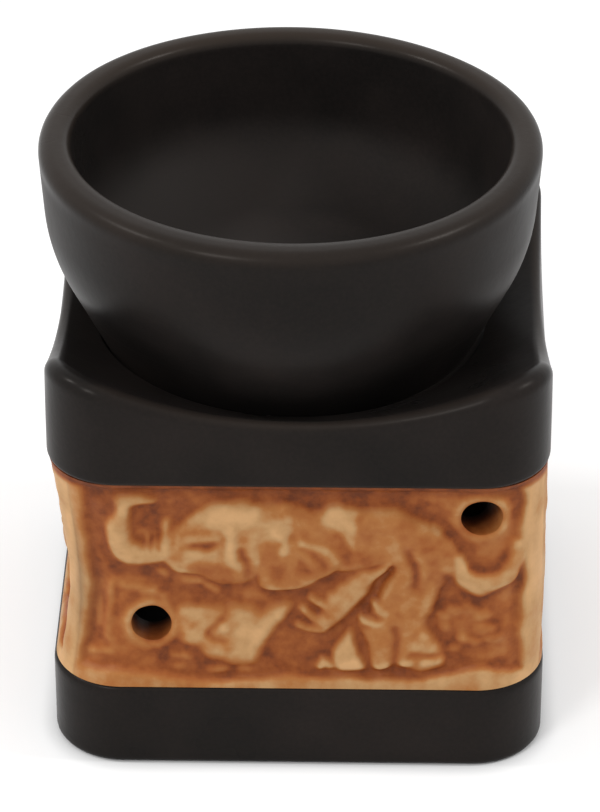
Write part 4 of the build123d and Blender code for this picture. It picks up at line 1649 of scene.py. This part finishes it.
def black_glaze(name):
    """A satin black. Grain and patches mix two blacks, and over them in turn come the painted light of the
    well's floor, the thin glaze with the painted sheen of the bowl's lip, and the soot. The roughness
    follows the patches, and grows where it is worn."""
    material, tree, shader, place = new_finish(name, roughness=0.32, specular=0.08)
    broad = add_noise(tree, place, 55, detail=2)
    fine = add_noise(tree, place, 1400, detail=3)
    grain = add_range(tree, fine, 0.35, 0.75, 0.0, 0.35)
    patches = add_range(tree, broad, 0.35, 0.7, 0.0, 0.65)
    tint = add_math(tree, "ADD", grain, patches)
    colour = add_mix(tree, tint, deep_black, brown_black)
    worn = add_attribute(tree, "worn")
    # painted light on the well's floor, then the thin glaze, which on the bowl's lip also paints a sheen
    dull = add_mix(tree, add_attribute(tree, "well_light_paint"), colour, painted_light_black)
    thin = add_mix(tree, add_attribute(tree, "thin"), dull, thin_glaze_and_sheen_brown)
    sooty = add_mix(tree, add_attribute(tree, "soot"), thin, soot_black)
    tree.links.new(sooty, shader.inputs["Base Color"])
    shader.inputs["Specular Tint"].default_value = (1.0, 0.93, 0.86, 1.0)
    sheen = add_range(tree, broad, 0.3, 0.7, 0.26, 0.36)
    roughness = add_math(tree, "ADD", sheen, add_math(tree, "MULTIPLY", worn, worn_roughness))
    tree.links.new(roughness, shader.inputs["Roughness"])
    pebbles = add_noise(tree, place, 420, detail=2)
    skin = add_math(tree, "ADD", pebbles, add_math(tree, "MULTIPLY", fine, 0.3))
    add_bump(tree, shader, skin, strength=0.12, distance=0.00025)
    return material


finish_with(plinth, black_glaze("base_black_glaze"), "base_glaze", "stand", "base_plinth")
finish_with(collar, black_glaze("collar_black_glaze"), "collar_glaze", "stand", "collar")
finish_with(bowl, black_glaze("bowl_black_glaze"), "bowl_glaze", "bowl", "oil_bowl")

# %% [markdown]
# ## Stained clay
# The clay's colour is a ramp over the stain, from wiped clay to the full wash. Mixing just the two
# ends would miss the orange that a thin wash shows, so the ramp has six stops. Fine noise breaks
# it up, as the grain of the clay takes the wash unevenly, and the vents darken towards the sooty
# inside. It has the low sheen of a clear matt wax.

# %% Stained clay
clay_stops = (
    (0.0, picture_colour(218, 170, 118)),
    (0.25, picture_colour(197, 152, 102)),
    (0.5, picture_colour(180, 117, 62)),
    (0.75, picture_colour(163, 92, 42)),
    (0.9, picture_colour(140, 72, 30)),
    (1.0, picture_colour(108, 54, 27)),
)
soot_brown = picture_colour(38, 27, 20)


def stained_clay():
    """The ramp over the stain plus two noises about 0, then soot mixed over it."""
    material, tree, shader, place = new_finish("stained_clay", roughness=0.5, specular=0.2)
    grain = add_noise(tree, place, 900, detail=4, roughness=0.6)
    patches = add_noise(tree, place, 210, detail=3)
    speck = add_math(tree, "MULTIPLY", add_math(tree, "SUBTRACT", grain, 0.5), 0.22)
    patch = add_math(tree, "MULTIPLY", add_math(tree, "SUBTRACT", patches, 0.5), 0.3)
    stain = add_math(tree, "ADD", add_attribute(tree, "stain"), add_math(tree, "ADD", speck, patch))
    colour = add_ramp(tree, stain, clay_stops)
    sooty = add_mix(tree, add_attribute(tree, "soot"), colour, soot_brown)
    tree.links.new(sooty, shader.inputs["Base Color"])
    tree.links.new(add_range(tree, patches, 0.3, 0.7, 0.42, 0.6), shader.inputs["Roughness"])
    add_bump(tree, shader, grain, strength=0.25, distance=0.0003)
    return material


finish_with(band, stained_clay(), "band_clay", "stand", "relief_band")

# %% [markdown]
# ## Foil, wax, cotton and tin
# The tealight's finishes are plain. Foil is bright metal with a faint grain, wax lets some light
# in under its skin, cotton is matt and tin is a greyer metal. One function makes both metals, as
# they differ only in colour, gloss and grain.

# %% Foil and tin
def metal(name, colour, roughness, grain):
    """A metal whose colour and roughness wander with one noise: up to a fifth darker, and by less
    than a tenth in roughness."""
    material, tree, shader, place = new_finish(name, roughness, specular=0.5)
    shader.inputs["Metallic"].default_value = 1.0
    noise = add_noise(tree, place, grain, detail=3)
    dull = tuple(0.8 * part for part in colour[:3]) + (1.0,)
    tree.links.new(add_mix(tree, noise, colour, dull), shader.inputs["Base Color"])
    wandering = add_range(tree, noise, 0.3, 0.7, roughness - 0.06, roughness + 0.08)
    tree.links.new(wandering, shader.inputs["Roughness"])
    add_bump(tree, shader, noise, strength=0.1, distance=0.0001)
    return material


cup_foil = metal("cup_foil", picture_colour(222, 224, 226), roughness=0.3, grain=700)
tab_tin = metal("tab_tin", picture_colour(190, 190, 186), roughness=0.38, grain=900)
print("metals", cup_foil.name, tab_tin.name)

# %% Wax and cotton
white_wax = picture_colour(246, 243, 234)
cloudy_wax = picture_colour(236, 231, 218)
pale_cotton = picture_colour(238, 232, 218)
grey_cotton = picture_colour(205, 196, 178)


def candle_wax():
    """Two whites mixed by soft clouds, with light scattered a millimetre or two under the skin."""
    material, tree, shader, place = new_finish("white_wax", roughness=0.42, specular=0.4)
    clouds = add_noise(tree, place, 160, detail=2)
    tree.links.new(add_mix(tree, clouds, white_wax, cloudy_wax), shader.inputs["Base Color"])
    shader.inputs["Subsurface Weight"].default_value = 0.25
    shader.inputs["Subsurface Radius"].default_value = (0.0018, 0.0014, 0.001)
    shader.inputs["Subsurface Scale"].default_value = 1.0
    add_bump(tree, shader, clouds, strength=0.2, distance=0.0003)
    return material


def cotton():
    """Two pale greys mixed by a very fine noise, which also raises the fibres."""
    material, tree, shader, place = new_finish("cotton_braid", roughness=0.9, specular=0.2)
    fibres = add_noise(tree, place, 3000, detail=4)
    tree.links.new(add_mix(tree, fibres, pale_cotton, grey_cotton), shader.inputs["Base Color"])
    add_bump(tree, shader, fibres, strength=0.5, distance=0.0001)
    return material


finish_with(cup, cup_foil, "cup_metal", "tealight", "tealight_cup")
finish_with(wax, candle_wax(), "wax", "tealight", "tealight_wax")
finish_with(wick, cotton(), "wick_cotton", "tealight", "tealight_wick")
finish_with(tab, tab_tin, "tab_metal", "tealight", "wick_tab")
print("materials", len(bpy.data.materials))

# %% [markdown]
# ## Floor and world
# The burner stands on a pale floor that runs out of sight in a white world. More light on the
# floor would bleach the object too. So the floor glows a little instead, but only as the camera
# and the glaze see it, and not in the narrow gap under the plinth, which keeps its shadow.

# %% Floor
def pale_floor():
    """A matt near white. Its glow is 0.3 where the floor is open and fades into crevices, times 1
    for rays from the camera or from a glossy surface and 0 for all others."""
    material, tree, shader, _ = new_finish("pale_floor", roughness=0.9, specular=0.0)
    shader.inputs["Base Color"].default_value = picture_colour(240, 240, 240)
    seen = tree.nodes.new("ShaderNodeLightPath")
    glow = add_math(tree, "MAXIMUM", seen.outputs["Is Camera Ray"], seen.outputs["Is Glossy Ray"])
    crevice = tree.nodes.new("ShaderNodeAmbientOcclusion")
    crevice.inputs["Distance"].default_value = 4 * mm
    open_floor = add_range(tree, crevice.outputs["AO"], 0.45, 0.95, 0.0, 0.3)
    shader.inputs["Emission Color"].default_value = (1, 1, 1, 1)
    tree.links.new(add_math(tree, "MULTIPLY", glow, open_floor), shader.inputs["Emission Strength"])
    return material


floor_half = 4.0
corner_signs = np.array(((-1, -1, 0), (1, -1, 0), (1, 1, 0), (-1, 1, 0)), float)
floor = mesh_piece("floor", corner_signs * floor_half, np.array(((0, 1, 2, 3),)))
floor.data.materials.append(pale_floor())
print("floor", 2 * floor_half, "m wide")

# %% World
world = bpy.data.worlds.new("studio")
bpy.context.scene.world = world
world.use_nodes = True
sky = world.node_tree
background = sky.nodes["Background"]
background.inputs["Color"].default_value = (1, 1, 1, 1)
ray = sky.nodes.new("ShaderNodeLightPath")
straight = add_math(sky, "MAXIMUM", ray.outputs["Is Camera Ray"], ray.outputs["Is Transmission Ray"])
straight = add_math(sky, "MAXIMUM", straight, ray.outputs["Is Glossy Ray"])
ambient = 0.58
sky_strength = add_range(sky, straight, 0, 1, ambient, 1.0)
sky.links.new(sky_strength, background.inputs["Strength"])
print("the world lights at", ambient)

# %% [markdown]
# ## Lamps
# The world gives most of the light, evenly from all round. A small soft lamp at each side puts
# the two bright spots on the lip of the bowl, and a larger one at the front left lights the relief
# at a slant and brings it out. One strong lamp would do that too, but with hard shadows.

# %% Lamps
def area_lamp(name, place, target, size, power, gloss):
    """A soft square lamp that faces a point. Gloss multiplies how strongly it shines in a glaze."""
    light = bpy.data.lights.new(name, "AREA")
    light.shape = "SQUARE"
    light.size = size
    light.energy = power
    light.specular_factor = gloss
    lamp = bpy.data.objects.new(name, light)
    lamp.location = place
    lamp.rotation_euler = (Vector(target) - Vector(place)).to_track_quat("-Z", "Y").to_euler()
    bpy.context.scene.collection.objects.link(lamp)


looked_at = (0, 0, 0.05)
area_lamp("left_box", (-0.62, -0.03, 0.67), looked_at, size=0.1, power=1.7, gloss=1.3)
area_lamp("right_box", (0.62, -0.05, 0.67), looked_at, size=0.12, power=2.0, gloss=1.3)
area_lamp("front_box", (-0.38, -0.55, 0.72), looked_at, size=0.2, power=1.9, gloss=0.4)
print("lamps", len(bpy.data.lights))

# %% [markdown]
# ## Camera
# The camera has the place and the lens that a fit to the photograph gave: it looks down at about
# 32 degrees from 0.73 metres. A lens shift moves the picture by a few pixels without turning the
# camera, which would bend the perspective.

# %% Camera
camera_distance = 0.7297
camera_rise = radians(31.82)
camera_swing = radians(1.01)
focal_pixels = 4099.8
picture_height_pixels = 812
shift_pixels = (-1.635, -13.05)
sensor = 36.0

toward = Vector((
    sin(camera_swing) * cos(camera_rise),
    -cos(camera_swing) * cos(camera_rise),
    sin(camera_rise),
))
lens = bpy.data.cameras.new("camera")
lens.sensor_width = sensor
lens.lens = focal_pixels / picture_height_pixels * sensor
lens.shift_x, lens.shift_y = (pixels / picture_height_pixels for pixels in shift_pixels)
lens.clip_start = 0.01
camera = bpy.data.objects.new("camera", lens)
camera.location = Vector(looked_at) + toward * camera_distance
camera.rotation_euler = (-toward).to_track_quat("-Z", "Y").to_euler()
bpy.context.scene.collection.objects.link(camera)
bpy.context.scene.camera = camera
bpy.context.scene.view_settings.view_transform = "Standard"
print("lens", round(lens.lens, 1), "mm")
